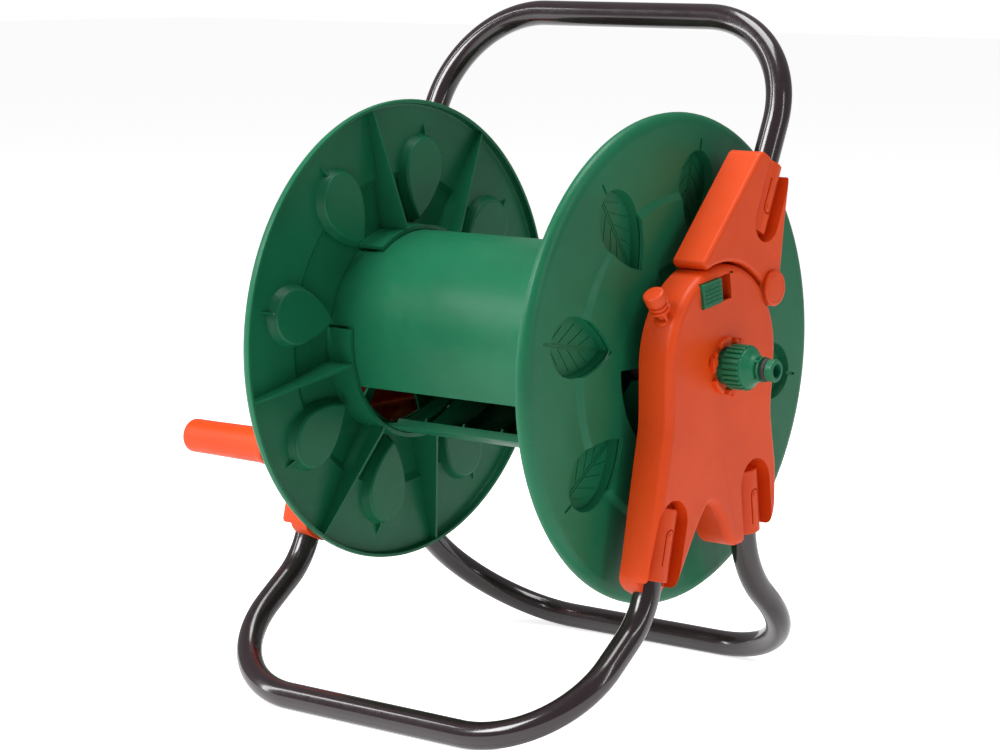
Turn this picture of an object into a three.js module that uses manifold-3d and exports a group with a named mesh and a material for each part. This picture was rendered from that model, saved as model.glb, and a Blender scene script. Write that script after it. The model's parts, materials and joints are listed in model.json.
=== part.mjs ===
import * as THREE from "three";
import { mergeVertices } from "three/addons/utils/BufferGeometryUtils.js";
import Module from "manifold-3d";

const wasm = await Module();
wasm.setup();

// Sizes in millimetres. X runs along the drum axis to the inlet side, Y to the rear, Z up.
// Everything is drawn about the middle of the drum axis and moved to the floor at the end.
// The inlet side is drawn at positive X and the crank side is its mirror image.

// Overall sizes
const FLOOR_BELOW_AXIS = 251.8;
const FLANGE_RADIUS = 175;
const WINDING_WIDTH = 241;
const TUBE_RADIUS = 9.5;
const TUBE_WALL = 1.2;
const LEG_X = 157.3;

// Clearances
const GAP = 0.3;
const RUNNING = 0.1;

// Facets
const TUBE_SIDES = 12;
const BORE_SIDES = 8;
const BEND_STEP = THREE.MathUtils.degToRad(13);
const FLANGE_SIDES = 32;
const ROUND_SIDES = 18;

// Tube routes on the leg plane: y and z of each corner, and the bend radius there
const FRONT_LEG = { socket: [-58.6, -96.8], knee: [-75.6, -168.2], kneeBend: 64, barY: -179, barBend: 78.7 };
const REAR_LEG = { socket: [41.1, -82.9], knee: [50.7, -157.3], kneeBend: 77.4, barY: 148.2, barBend: 88.5 };
const HANDLE = { socket: [46.6, 92.6], bar: [113.2, 239], barBend: 81.1 };

// Side brackets
const BRACKET_BACK = 145;
const BRACKET_FACE = 172;
const BRACKET_WALL = 3;
const BRACKET_EDGE = 6;
const HANDLE_BRACKET_EDGE = 3.5;
const HEAD_CENTRE = [-1.5, 5];
const HEAD_RADIUS = 66;
const SEAM = 1.6;
const SLEEVE_RADIUS = 12.5;
const FRONT_SLEEVE = 48;
const REAR_SLEEVE = 44;
const HANDLE_SLEEVE = 49;
const POCKET_FLOOR = 160;
const FRONT_POCKET = { apex: [-57.7, -87.5], halfWidth: 16.5, length: 90 };
const REAR_POCKET = { apex: [37.5, -71.5], halfWidth: 18.5, length: 80 };
const HANDLE_POCKET = { apex: [42.6, 84.2], halfWidth: 15, length: 90 };

// Handle hinge
const HINGE = [57.1, 49.4];
const EAR_RADIUS = 12;
const HINGE_PIN_RADIUS = 5;
const HINGE_HEAD_RADIUS = 12.8;
const HINGE_HEAD = 3;
const EAR_SPLIT = 156;

// Handle latch
const LATCH_CENTRE = [-21, 52.5];
const LATCH_TILT = THREE.MathUtils.degToRad(8.5);
const LATCH_LENGTH = 23;
const LATCH_HEIGHT = 17;
const LATCH_TRAVEL = 13;
const LATCH_FACE = 175;
const LATCH_PLATE = 5;
const KEEPER_Y = [2, 5];

// Drum
const RIM_DEPTH = 9;
const WEB = 2.5;
const PLATEAU_RISE = 3;
const PLATEAU_RADIUS = 114.5;
const STEP_RADIUS = 118.5;
const CORE_RADIUS = 77.25;
const CORE_WALL = 2;
const COLLAR_WALL = 3;
const COLLAR_REACH = 14.5;
const HOSE_GAP = 33.5;
const SHELL_SEAM = 0.6;
const FRONT_SHELL = [-26.5, 153.5 - SHELL_SEAM];
const REAR_SHELL = [153.5, 333.5 - HOSE_GAP];
const TAB_SPAN = [8, 55];
const TAB_SLACK = 1.6;
const WINDOW_INNER_RADIUS = 30;
const GUSSET_WALL = 2;
const LEAF_PHASE = 10;
const LEAF_COUNT = 8;
const LEAF_DEPTH = 7;
const LEAF_TAPER = 0.88;
const LEAF = [[82, 0], [102, 14.6], [122, 22], [138, 19], [150, 7]];

// Water way and axle
const SPIGOT_RADIUS = 13;
const SPIGOT_BORE = 9;
const HUB_REACH = 20;
const SPIGOT_REACH = 27.5;
const ELBOW_DEPTH = 48.5;
const TAIL_DEPTH = 39.5;
const TAIL_BORE = 5;
const HUB_WALL = 6;
const NUT_RADIUS = 16;
const NUT_RIBS = 24;
const NIPPLE_RADIUS = 8;
const NIPPLE_BORE = 4.65;
const NIPPLE_END = 214;
const AXLE_RADIUS = 12;
const AXLE_SQUARE = 15;
const BUSH_WALL = 2.5;

// Crank
const CRANK_RADIUS = 117;
const CRANK_ANGLE = THREE.MathUtils.degToRad(48.7);
const CRANK_BACK = 177;
const CRANK_DEPTH = 11;
const CRANK_WIDTH = 24;
const GRIP_RADIUS = 13;
const GRIP_BASE_RADIUS = 14.2;
const GRIP_END = 273;
const GRIP_PIN_RADIUS = 5;

// Parking peg for the hose end
const PEG_FOOT = THREE.MathUtils.degToRad(149);
const PEG_LEAN = THREE.MathUtils.degToRad(127);
const PEG_X = 158.5;
const PEG_LENGTH = 25.5;
const PEG_SUNK = 4;
const PEG_RADIUS = 7.6;
const PEG_NECK = 5.4;

// Heights and planes that follow from the sizes above
const barZ = TUBE_RADIUS - FLOOR_BELOW_AXIS;
const rimEdge = WINDING_WIDTH / 2;
const webFace = rimEdge + RIM_DEPTH;
const plateauFace = webFace + PLATEAU_RISE;
const spigotEnd = plateauFace - SPIGOT_REACH;
const elbowEnd = plateauFace - ELBOW_DEPTH;
const tailX = plateauFace - TAIL_DEPTH;
const collarInner = (CORE_RADIUS + GAP) / Math.cos(Math.PI / FLANGE_SIDES);
const collarOuter = collarInner + COLLAR_WALL;
const ringOuter = CORE_RADIUS - CORE_WALL - 2 * GAP;
const ringInner = ringOuter - WEB;
const latchPlateBack = BRACKET_FACE - BRACKET_WALL - LATCH_PLATE;
const keeperX = [150, latchPlateBack - 2 * GAP];

// ---- Drawing helpers

const ALONG_X = new THREE.Matrix4().makeBasis(
  new THREE.Vector3(0, 1, 0),
  new THREE.Vector3(0, 0, 1),
  new THREE.Vector3(1, 0, 0),
);
const LATHE_TO_X = new THREE.Matrix4().makeBasis(
  new THREE.Vector3(0, 0, 1),
  new THREE.Vector3(1, 0, 0),
  new THREE.Vector3(0, 1, 0),
);

// A closed three.js geometry as a solid that can be added to and cut.
function solid(geometry) {
  const bare = geometry.clone();
  bare.deleteAttribute("normal");
  bare.deleteAttribute("uv");
  const merged = mergeVertices(bare, 1e-4);
  const index = merged.index.array;
  const kept = [];
  for (let i = 0; i < index.length; i += 3) {
    const [a, b, c] = [index[i], index[i + 1], index[i + 2]];
    if (a !== b && b !== c && c !== a) kept.push(a, b, c);
  }
  return new wasm.Manifold(
    new wasm.Mesh({
      numProp: 3,
      vertProperties: new Float32Array(merged.attributes.position.array),
      triVerts: new Uint32Array(kept),
    }),
  );
}

function union(...solids) {
  return solids.reduce((whole, piece) => whole.add(piece));
}

function block([x0, x1], [y0, y1], [z0, z1]) {
  const box = new THREE.BoxGeometry(x1 - x0, y1 - y0, z1 - z0);
  return solid(box.translate((x0 + x1) / 2, (y0 + y1) / 2, (z0 + z1) / 2));
}

function shapeOf(outline) {
  return new THREE.Shape(outline.map(([y, z]) => new THREE.Vector2(y, z)));
}

// An outline of y and z pulled along X.
function prism(outline, x0, x1) {
  const geometry = new THREE.ExtrudeGeometry(shapeOf(outline), { depth: x1 - x0, bevelEnabled: false });
  return solid(geometry.translate(0, 0, x0).applyMatrix4(ALONG_X));
}

// The same with the edge at x1 rounded over.
function roundedPrism(outline, x0, x1, edge) {
  const geometry = new THREE.ExtrudeGeometry(shapeOf(outline), {
    depth: x1 - x0 - edge,
    bevelThickness: edge,
    bevelSize: edge,
    bevelOffset: -edge,
    bevelSegments: 2,
  });
  const whole = solid(geometry.translate(0, 0, x0).applyMatrix4(ALONG_X));
  return whole.subtract(block([x0 - 2 * edge, x0], [-400, 400], [-400, 400]));
}

// A closed profile of radius and x turned about the X axis, or about a line parallel to it.
function turned(profile, sides = ROUND_SIDES, [y, z] = [0, 0]) {
  const points = profile.map(([radius, x]) => new THREE.Vector2(radius, x));
  if (THREE.ShapeUtils.area(points) < 0) points.reverse();
  points.push(points[0].clone());
  const geometry = new THREE.LatheGeometry(points, sides);
  return solid(geometry.applyMatrix4(LATHE_TO_X).translate(0, y, z));
}

function disc(radius, x0, x1, centre = [0, 0], sides = ROUND_SIDES) {
  const geometry = new THREE.CylinderGeometry(radius, radius, x1 - x0, sides);
  geometry.rotateZ(-Math.PI / 2);
  return solid(geometry.translate((x0 + x1) / 2, centre[0], centre[1]));
}

function ring(inner, outer, x0, x1, sides = ROUND_SIDES) {
  return turned([[inner, x0], [outer, x0], [outer, x1], [inner, x1]], sides);
}

// A profile of radius and distance turned about the line from a point in a direction.
function turnedAlong(profile, from, direction, sides = ROUND_SIDES) {
  const points = profile.map(([radius, s]) => new THREE.Vector2(radius, s));
  if (THREE.ShapeUtils.area(points) < 0) points.reverse();
  points.push(points[0].clone());
  const geometry = new THREE.LatheGeometry(points, sides);
  const turn = new THREE.Quaternion().setFromUnitVectors(new THREE.Vector3(0, 1, 0), direction);
  return solid(geometry.applyQuaternion(turn).translate(from.x, from.y, from.z));
}

function rodAlong(radius, from, direction, length, sides = ROUND_SIDES) {
  return turnedAlong([[0, 0], [radius, 0], [radius, length], [0, length]], from, direction, sides);
}

// Points on an arc in y and z; angles in degrees, 0 to the front and 90 up.
function arc(radius, from, to, steps, centre = [0, 0]) {
  return Array.from({ length: steps + 1 }, (_, k) => {
    const angle = THREE.MathUtils.degToRad(from + ((to - from) * k) / steps);
    return [centre[0] - radius * Math.cos(angle), centre[1] + radius * Math.sin(angle)];
  });
}

// The angle at which one point sees another, in the same degrees.
function angleOf([y0, z0], [y1, z1]) {
  return THREE.MathUtils.radToDeg(Math.atan2(z1 - z0, y0 - y1));
}

// The piece of a ring between two angles.
function ringPiece(inner, outer, from, to, x0, x1) {
  const steps = Math.max(1, Math.round(Math.abs(to - from) / (360 / FLANGE_SIDES)));
  const outline = [...arc(outer, from, to, steps), ...arc(inner, to, from, steps)];
  return prism(outline, x0, x1);
}

// An outline moved inwards; its points run counter-clockwise.
function inset(outline, by) {
  const count = outline.length;
  return outline.map(([y, z], i) => {
    const [y0, z0] = outline[(i + count - 1) % count];
    const [y1, z1] = outline[(i + 1) % count];
    const before = new THREE.Vector2(y - y0, z - z0).normalize();
    const after = new THREE.Vector2(y1 - y, z1 - z).normalize();
    const scale = by / (1 + before.dot(after));
    return [y - (before.y + after.y) * scale, z + (before.x + after.x) * scale];
  });
}

// A U outline: its round end is at the apex and it runs on from there.
function arch({ apex, halfWidth, length }, along) {
  const place = (s, t) => [apex[0] + along[0] * s - along[1] * t, apex[1] + along[1] * s + along[0] * t];
  const round = Array.from({ length: 7 }, (_, k) => {
    const angle = (Math.PI * k) / 6;
    return place(halfWidth * (1 - Math.sin(angle)), halfWidth * Math.cos(angle));
  });
  return [place(length, -halfWidth), place(length, halfWidth), ...round];
}

function heading([y0, z0], [y1, z1]) {
  const length = Math.hypot(y1 - y0, z1 - z0);
  return [(y1 - y0) / length, (z1 - z0) / length];
}

// ---- Tubes

// A route of straight runs and round bends, with a station at each end of a straight.
class Route extends THREE.Curve {
  constructor(points, bends) {
    super();
    const toward = (a, b) => b.clone().sub(a).normalize();
    const last = points.length - 1;
    this.stations = [{ at: points[0], along: toward(points[0], points[1]) }];
    for (let i = 1; i < last; i++) {
      const before = toward(points[i - 1], points[i]);
      const after = toward(points[i], points[i + 1]);
      const angle = before.angleTo(after);
      const inward = after.clone().addScaledVector(before, -before.dot(after)).normalize();
      const start = points[i].clone().addScaledVector(before, -bends[i - 1] * Math.tan(angle / 2));
      const steps = Math.ceil(angle / BEND_STEP);
      for (let k = 0; k <= steps; k++) {
        const turn = (angle * k) / steps;
        this.stations.push({
          at: start
            .clone()
            .addScaledVector(before, bends[i - 1] * Math.sin(turn))
            .addScaledVector(inward, bends[i - 1] * (1 - Math.cos(turn))),
          along: before.clone().multiplyScalar(Math.cos(turn)).addScaledVector(inward, Math.sin(turn)),
        });
      }
    }
    this.stations.push({ at: points[last], along: toward(points[last - 1], points[last]) });
    this.steps = this.stations.length - 1;
  }
  getPointAt(t, target = new THREE.Vector3()) {
    return target.copy(this.stations[Math.round(t * this.steps)].at);
  }
  getTangentAt(t, target = new THREE.Vector3()) {
    return target.copy(this.stations[Math.round(t * this.steps)].along);
  }
}

// A round section swept along a route, with one flat facing down at the middle of the route.
function swept(route, radius, boreRadius = 0) {
  const frames = route.computeFrenetFrames(route.steps, false);
  const middle = Math.floor(route.steps / 2);
  const down = new THREE.Vector3(0, 0, -1);
  const turn = Math.atan2(down.dot(frames.binormals[middle]), down.dot(frames.normals[middle]));
  const circle = (corner, sides) =>
    Array.from({ length: sides }, (_, k) => {
      const angle = turn + ((k + 0.5) * 2 * Math.PI) / sides;
      return new THREE.Vector2(corner * Math.cos(angle), corner * Math.sin(angle));
    });
  const section = new THREE.Shape(circle(radius / Math.cos(Math.PI / TUBE_SIDES), TUBE_SIDES));
  if (boreRadius) {
    // The same area as the round bore, so that the tube weighs what it should
    const facet = (2 * Math.PI) / BORE_SIDES;
    section.holes.push(new THREE.Path(circle(boreRadius * Math.sqrt(facet / Math.sin(facet)), BORE_SIDES)));
  }
  return solid(new THREE.ExtrudeGeometry(section, { steps: route.steps, extrudePath: route }));
}

function legRoute({ socket, knee, kneeBend, barY, barBend }) {
  const corner = (side, [y, z]) => new THREE.Vector3(side * LEG_X, y, z);
  const side = (sign) => [corner(sign, socket), corner(sign, knee), corner(sign, [barY, barZ])];
  return new Route([...side(1), ...side(-1).reverse()], [kneeBend, barBend, barBend, kneeBend]);
}

function handleRoute({ socket, bar, barBend }) {
  const corner = (side, [y, z]) => new THREE.Vector3(side * LEG_X, y, z);
  const points = [corner(1, socket), corner(1, bar), corner(-1, bar), corner(-1, socket)];
  return new Route(points, [barBend, barBend]);
}

const frontRoute = legRoute(FRONT_LEG);
const rearRoute = legRoute(REAR_LEG);
const carryRoute = handleRoute(HANDLE);

// ---- Side brackets

const headOutline = arc(HEAD_RADIUS, 180, 0, 18, HEAD_CENTRE);
const LOWER_OUTLINE = [
  ...headOutline,
  [-67, -37],
  [-73, -65],
  [-78.5, -93],
  [-85, -128],
  [-88, -142],
  [-83, -148],
  [-69, -156],
  [-61, -155],
  [-52, -146],
  [-40, -127],
  [-27, -107],
  [-18, -98],
  [-11, -99],
  [0, -111],
  [9, -127],
  [17, -132],
  [50, -130],
  [66, -120],
  [69, -110],
  [69, -80],
  [65, -59],
  [61, -37],
  [63.5, -18],
];

// An open-backed shell that is left full where the pieces to keep stand in its hollow.
function moulding(outline, edge, keep) {
  const hollow = prism(inset(outline, BRACKET_WALL), BRACKET_BACK - 1, BRACKET_FACE - BRACKET_WALL);
  const left = keep.reduce((rest, piece) => rest.subtract(piece), hollow);
  return roundedPrism(outline, BRACKET_BACK, BRACKET_FACE, edge).subtract(left);
}

// The walls round a socket's pocket.
function pocketWalls({ apex, halfWidth, length }, along) {
  const wider = {
    apex: [apex[0] - along[0] * WEB, apex[1] - along[1] * WEB],
    halfWidth: halfWidth + WEB,
    length: length + WEB,
  };
  return prism(arch(wider, along), POCKET_FLOOR - WEB, BRACKET_FACE);
}

// The pocket cut in the face, with the tube's sleeve standing in it.
function withSocket(shell, pocket, from, along, sleeveLength, route) {
  const cut = prism(arch(pocket, along), POCKET_FLOOR, BRACKET_FACE + 1);
  const start = new THREE.Vector3(LEG_X, from[0] - along[0] * BRACKET_WALL, from[1] - along[1] * BRACKET_WALL);
  const direction = new THREE.Vector3(0, along[0], along[1]);
  const sleeve = rodAlong(SLEEVE_RADIUS, start, direction, sleeveLength + BRACKET_WALL, 16);
  return shell.subtract(cut).add(sleeve).subtract(swept(route, TUBE_RADIUS + GAP));
}

function lowerBracket(boss) {
  const frontAlong = heading(FRONT_LEG.socket, FRONT_LEG.knee);
  const rearAlong = heading(REAR_LEG.socket, REAR_LEG.knee);
  const biteRadius = EAR_RADIUS + 2.2;
  const keep = [
    boss,
    block([150, BRACKET_FACE], [-80, 80], [-19, -17]),
    block([150, BRACKET_FACE], [-80, 80], [-62, -60]),
    block([150, BRACKET_FACE], [-16, -14], [-100, -18]),
    pocketWalls(FRONT_POCKET, frontAlong),
    pocketWalls(REAR_POCKET, rearAlong),
    disc(biteRadius + WEB, EAR_SPLIT - WEB, BRACKET_FACE, HINGE),
    latchGuide(),
  ];
  let shell = moulding(LOWER_OUTLINE, BRACKET_EDGE, keep);
  shell = withSocket(shell, FRONT_POCKET, FRONT_LEG.socket, frontAlong, FRONT_SLEEVE, frontRoute);
  shell = withSocket(shell, REAR_POCKET, REAR_LEG.socket, rearAlong, REAR_SLEEVE, rearRoute);

  // Lower ear of the handle hinge, and the bite that the upper ear turns in
  const toHead = heading(HINGE, HEAD_CENTRE);
  const earApex = [HINGE[0] - toHead[0] * EAR_RADIUS, HINGE[1] - toHead[1] * EAR_RADIUS];
  const ear = prism(
    arch({ apex: earApex, halfWidth: EAR_RADIUS, length: 34 }, toHead),
    BRACKET_BACK + 0.5,
    EAR_SPLIT - GAP,
  );
  const bite = disc(biteRadius, EAR_SPLIT - GAP, BRACKET_FACE + 1, HINGE);
  const pinHole = disc(HINGE_PIN_RADIUS + GAP, BRACKET_BACK - 1, EAR_SPLIT + 1, HINGE, 16);
  shell = shell.subtract(bite).add(ear).subtract(pinHole);
  return shell.subtract(latchWindow()).subtract(keeperSlot());
}

// A box in the latch's own tilted axes: s along its travel, t across it.
function latchBox([x0, x1], [s0, s1], [t0, t1]) {
  const box = new THREE.BoxGeometry(x1 - x0, s1 - s0, t1 - t0);
  box.translate((x0 + x1) / 2, (s0 + s1) / 2, (t0 + t1) / 2);
  return solid(box.rotateX(LATCH_TILT).translate(0, LATCH_CENTRE[0], LATCH_CENTRE[1]));
}

function latchWindow() {
  const half = LATCH_LENGTH / 2;
  const room = 2 * GAP;
  return latchBox(
    [BRACKET_FACE - BRACKET_WALL - 1, BRACKET_FACE + 1],
    [-half - room, half + LATCH_TRAVEL + room],
    [-LATCH_HEIGHT / 2 - room, LATCH_HEIGHT / 2 + room],
  );
}

// The rail and lip that the latch's plate runs on, behind the face.
function latchGuide() {
  const inside = BRACKET_FACE - BRACKET_WALL;
  const span = [-LATCH_LENGTH / 2 - 2, LATCH_LENGTH / 2 + LATCH_TRAVEL + 6];
  const railT = -LATCH_HEIGHT / 2 - 3.5;
  const rail = latchBox([inside - 8, inside + 1], span, [railT - 2, railT - GAP]);
  const lip = latchBox([inside - 8, inside - 6], span, [railT - 2, railT + 2]);
  return rail.add(lip);
}

// The keeper swings out through this slot in the top wall.
function keeperSlot() {
  return block([keeperX[0] - 1, keeperX[1] + 1.6], [KEEPER_Y[0] - 1.2, KEEPER_Y[1] + 7], [60, 80]);
}

function upperBracket() {
  const seamRadius = HEAD_RADIUS + SEAM;
  const earRadius = EAR_RADIUS + 1;
  // Where the seam's circle meets the ear's
  const span = Math.hypot(HINGE[0] - HEAD_CENTRE[0], HINGE[1] - HEAD_CENTRE[1]);
  const spread = Math.acos((seamRadius ** 2 + span ** 2 - earRadius ** 2) / (2 * seamRadius * span));
  const seamEnd = angleOf(HEAD_CENTRE, HINGE) - THREE.MathUtils.radToDeg(spread);
  const [meeting] = arc(seamRadius, seamEnd, seamEnd, 1, HEAD_CENTRE);
  const earStart = angleOf(HINGE, meeting);
  const outline = [
    ...arc(seamRadius, 72, seamEnd, 8, HEAD_CENTRE),
    ...arc(earRadius, earStart, -210, 10, HINGE).slice(1),
    [68.5, 62],
    [73.2, 95.6],
    [78.7, 128.2],
    [42, 148],
    [-28, 73.5],
  ];
  const along = heading(HANDLE.socket, HANDLE.bar);
  const keep = [
    pocketWalls(HANDLE_POCKET, along),
    disc(earRadius, EAR_SPLIT, BRACKET_FACE, HINGE),
    block([150, BRACKET_FACE], [15, 17], [60, 120]),
    block(keeperX, KEEPER_Y, [60, 80]),
  ];
  let shell = moulding(outline, HANDLE_BRACKET_EDGE, keep);
  shell = withSocket(shell, HANDLE_POCKET, HANDLE.socket, along, HANDLE_SLEEVE, carryRoute);
  const earRoom = disc(EAR_RADIUS + 8, BRACKET_BACK - 1, EAR_SPLIT, HINGE);
  const pinHole = disc(HINGE_PIN_RADIUS + GAP, BRACKET_BACK - 1, BRACKET_FACE + 1, HINGE, 16);
  // Keeper plate with the hole that the latch's nose slides into
  const keeper = block(keeperX, KEEPER_Y, [49.5, HEAD_CENTRE[1] + seamRadius + 2]);
  return shell.subtract(earRoom).subtract(pinHole).add(keeper).subtract(noseBox([4, 6], [2, 2]));
}

// The latch's nose, or the hole for it when it is made larger.
function noseBox([before, after], [sideways, upward]) {
  const reach = (KEEPER_Y[0] - 1 - LATCH_CENTRE[0]) / Math.cos(LATCH_TILT);
  return latchBox([154 - sideways, 160 + sideways], [-6 - before, reach + after], [-2 - upward, 2 + upward]);
}

function latch() {
  const inside = BRACKET_FACE - BRACKET_WALL;
  const half = LATCH_LENGTH / 2;
  const tall = LATCH_HEIGHT / 2;
  const button = latchBox([inside - 0.9, LATCH_FACE], [-half, half], [-tall, tall]);
  const plate = latchBox([latchPlateBack, inside - GAP], [-half - 1.5, half + 3], [-tall - 2.8, tall - 0.5]);
  const arm = latchBox([153, inside - 2], [-6, 2], [-6, 4]);
  const inHead = disc(HEAD_RADIUS - BRACKET_WALL - 0.6, 140, 180, HEAD_CENTRE, 36);
  const grooves = [-6, -2, 2, 6].map((s) => latchBox([LATCH_FACE - 1, LATCH_FACE + 1], [s - 0.7, s + 0.7], [-7, 7]));
  const body = union(plate.intersect(inHead), button, arm, noseBox([0, 0], [0, 0]));
  return grooves.reduce((left, groove) => left.subtract(groove), body);
}

function inletBracket() {
  const hole = disc(SPIGOT_RADIUS + GAP, BRACKET_BACK - 30, BRACKET_FACE + 6);
  const recess = disc(19 + GAP, BRACKET_BACK - 1, 166);
  const lugRing = ring(17, 20.5, BRACKET_FACE - 1, BRACKET_FACE + 3.5);
  return lowerBracket(disc(22, 160, BRACKET_FACE)).add(lugRing).subtract(recess).subtract(hole);
}

function crankBracket() {
  const hole = disc(AXLE_RADIUS + BUSH_WALL + GAP, BRACKET_BACK - 1, BRACKET_FACE + 1);
  return lowerBracket(disc(22, BRACKET_BACK + 3, BRACKET_FACE)).subtract(hole);
}

// ---- Drum

function leafOutline(scale, turn) {
  const middle = 118;
  const side = LEAF.map(([radius, half]) => [middle + (radius - middle) * scale, half * scale]);
  const closed = [...side, ...side.slice(1).reverse().map(([radius, half]) => [radius, -half])];
  const angle = THREE.MathUtils.degToRad(turn);
  return closed.map(([u, v]) => [
    -u * Math.cos(angle) - v * Math.sin(angle),
    u * Math.sin(angle) - v * Math.cos(angle),
  ]);
}

// A leaf-shaped block whose sides draw in from the wide end x1 to the narrow end x0.
function leafBlock(wide, narrow, turn, x0, x1) {
  const outline = leafOutline(wide, turn);
  const inner = leafOutline(narrow, turn);
  const geometry = new THREE.ExtrudeGeometry(shapeOf(outline), { depth: x1 - x0, bevelEnabled: false });
  const position = geometry.attributes.position;
  for (let i = 0; i < position.count; i++) {
    if (position.getZ(i) > 0.5 * (x1 - x0)) continue;
    const near = outline.findIndex(
      ([y, z]) => Math.abs(y - position.getX(i)) < 1e-3 && Math.abs(z - position.getY(i)) < 1e-3,
    );
    position.setXY(i, ...inner[near]);
  }
  return solid(geometry.translate(0, 0, x0).applyMatrix4(ALONG_X));
}

function flange() {
  const webBack = webFace - WEB;
  const plateauBack = plateauFace - WEB;
  const dish = turned(
    [
      [0, plateauFace],
      [PLATEAU_RADIUS, plateauFace],
      [STEP_RADIUS, webFace],
      [FLANGE_RADIUS - 5, webFace],
      [FLANGE_RADIUS, webFace - 4],
      [FLANGE_RADIUS - 0.8, rimEdge],
      [FLANGE_RADIUS - 4, rimEdge],
      [FLANGE_RADIUS - 3.2, webBack],
      [STEP_RADIUS + 0.8, webBack],
      [PLATEAU_RADIUS + 0.8, plateauBack],
      [0, plateauBack],
    ],
    FLANGE_SIDES,
  );
  const collar = ring(collarInner, collarOuter, rimEdge - COLLAR_REACH, plateauBack + 1, FLANGE_SIDES);
  const innerRing = ring(ringInner, ringOuter, rimEdge - 8, plateauBack + 1, FLANGE_SIDES);
  let body = union(dish, collar, innerRing);

  const gusset = [
    [collarInner + 1, rimEdge - COLLAR_REACH],
    [collarOuter + 3.5, rimEdge - COLLAR_REACH - 1],
    [FLANGE_RADIUS - 3.6, rimEdge + 1],
    [FLANGE_RADIUS - 3.6, webBack + 1],
    [STEP_RADIUS, webBack + 1],
    [PLATEAU_RADIUS, plateauBack + 1],
    [collarInner + 1, plateauBack + 1],
  ];
  const wall = new THREE.ExtrudeGeometry(new THREE.Shape(gusset.map(([u, x]) => new THREE.Vector2(u, x))), {
    depth: GUSSET_WALL,
    bevelEnabled: false,
  });
  for (let k = 0; k < LEAF_COUNT; k++) {
    const turn = LEAF_PHASE + (360 / LEAF_COUNT) * (k + 0.5);
    if (k % 4 === 0) continue;
    const angle = THREE.MathUtils.degToRad(turn);
    const out = new THREE.Vector3(0, -Math.cos(angle), Math.sin(angle));
    const across = new THREE.Vector3().crossVectors(out, new THREE.Vector3(1, 0, 0));
    const place = new THREE.Matrix4().makeBasis(out, new THREE.Vector3(1, 0, 0), across);
    const rib = wall.clone().translate(0, 0, -GUSSET_WALL / 2).applyMatrix4(place);
    body = body.add(solid(rib));
  }

  const bossTop = webBack - LEAF_DEPTH;
  const insideWall = turned(
    [
      [0, bossTop - 1],
      [FLANGE_RADIUS, bossTop - 1],
      [FLANGE_RADIUS, webFace - 1.2],
      [STEP_RADIUS, webFace - 1.2],
      [PLATEAU_RADIUS, plateauFace - 1.2],
      [0, plateauFace - 1.2],
    ],
    FLANGE_SIDES,
  );
  const turns = Array.from({ length: LEAF_COUNT }, (_, k) => LEAF_PHASE + (360 / LEAF_COUNT) * k);
  for (const turn of turns) {
    const boss = leafBlock(1.07, LEAF_TAPER + 0.07, turn, bossTop, plateauFace);
    body = body.add(boss.intersect(insideWall));
  }
  for (const turn of turns) {
    body = body.subtract(leafBlock(1, LEAF_TAPER, turn, bossTop + WEB, plateauFace + 1));
  }

  // Room for the shells' tabs, and the windows round the hub
  for (const half of [0, 180]) {
    const from = TAB_SPAN[0] - TAB_SLACK + half;
    const to = TAB_SPAN[1] + TAB_SLACK + half;
    body = body.subtract(ringPiece(CORE_RADIUS - 1.2, collarOuter + 1, from, to, 90, plateauBack));
    const openings = [[TAB_SPAN[1] + 12, 120], [128, TAB_SPAN[0] + 172]];
    for (const [start, end] of openings) {
      const [a, b] = [start + half, end + half];
      body = body.subtract(ringPiece(WINDOW_INNER_RADIUS, ringInner - 1, a, b, plateauBack - 1, plateauFace + 1));
    }
  }
  return body;
}

const hubRadius = SPIGOT_RADIUS + GAP + HUB_WALL;

function inletFlange() {
  const hub = disc(hubRadius, plateauFace - HUB_REACH, plateauFace + 5.5);
  const bore = (SPIGOT_RADIUS + RUNNING) / Math.cos(Math.PI / ROUND_SIDES);
  return flange().add(hub).subtract(disc(bore, plateauFace - 40, plateauFace + 20));
}

// Mirrored later: the axle runs out through the crank side's bracket.
function crankFlange() {
  const boss = disc(hubRadius, plateauFace - 16, plateauFace + 5.5);
  const axle = disc(AXLE_RADIUS, plateauFace, CRANK_BACK - 2);
  const half = AXLE_SQUARE / 2;
  const square = block([CRANK_BACK - 3, CRANK_BACK + CRANK_DEPTH - 1], [-half, half], [-half, half]);
  const bore = disc(7, plateauFace - HUB_REACH, CRANK_BACK - 12);
  const screwHole = disc(2, CRANK_BACK - 13, CRANK_BACK + 20, [0, 0], 12);
  return flange().add(union(boss, axle, square)).subtract(bore).subtract(screwHole);
}

// One of the two half shells of the winding core.
function coreShell([from, to], turn) {
  const [tabFrom, tabTo] = TAB_SPAN.map((angle) => angle + turn);
  const inner = CORE_RADIUS - CORE_WALL;
  const end = rimEdge - COLLAR_REACH + 6;
  const tabEnd = plateauFace - WEB - GAP;
  const skin = ringPiece(inner, CORE_RADIUS, from, to, -end, end);
  const tabs = ringPiece(inner, CORE_RADIUS, tabFrom, tabTo, -tabEnd, tabEnd);
  const hoops = [-36, 36].map((x) => ringPiece(inner - 7, inner + 0.5, from, to, x - 1, x + 1));
  const reach = rimEdge - COLLAR_REACH - 8;
  const edges = [from, to - 1.5].map((angle) => ringPiece(inner - 4, inner + 0.5, angle, angle + 1.5, -reach, reach));
  return union(skin, tabs, ...hoops, ...edges);
}

// ---- Water way

function inletSpigot() {
  const profile = [
    [SPIGOT_BORE, spigotEnd],
    [SPIGOT_RADIUS, spigotEnd],
    [SPIGOT_RADIUS, 160],
    [19, 160],
    [19, 166 - GAP],
    [SPIGOT_RADIUS, 166 - GAP],
    [SPIGOT_RADIUS, 188],
    [SPIGOT_BORE, 188],
  ];
  return turned(profile);
}

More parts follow.
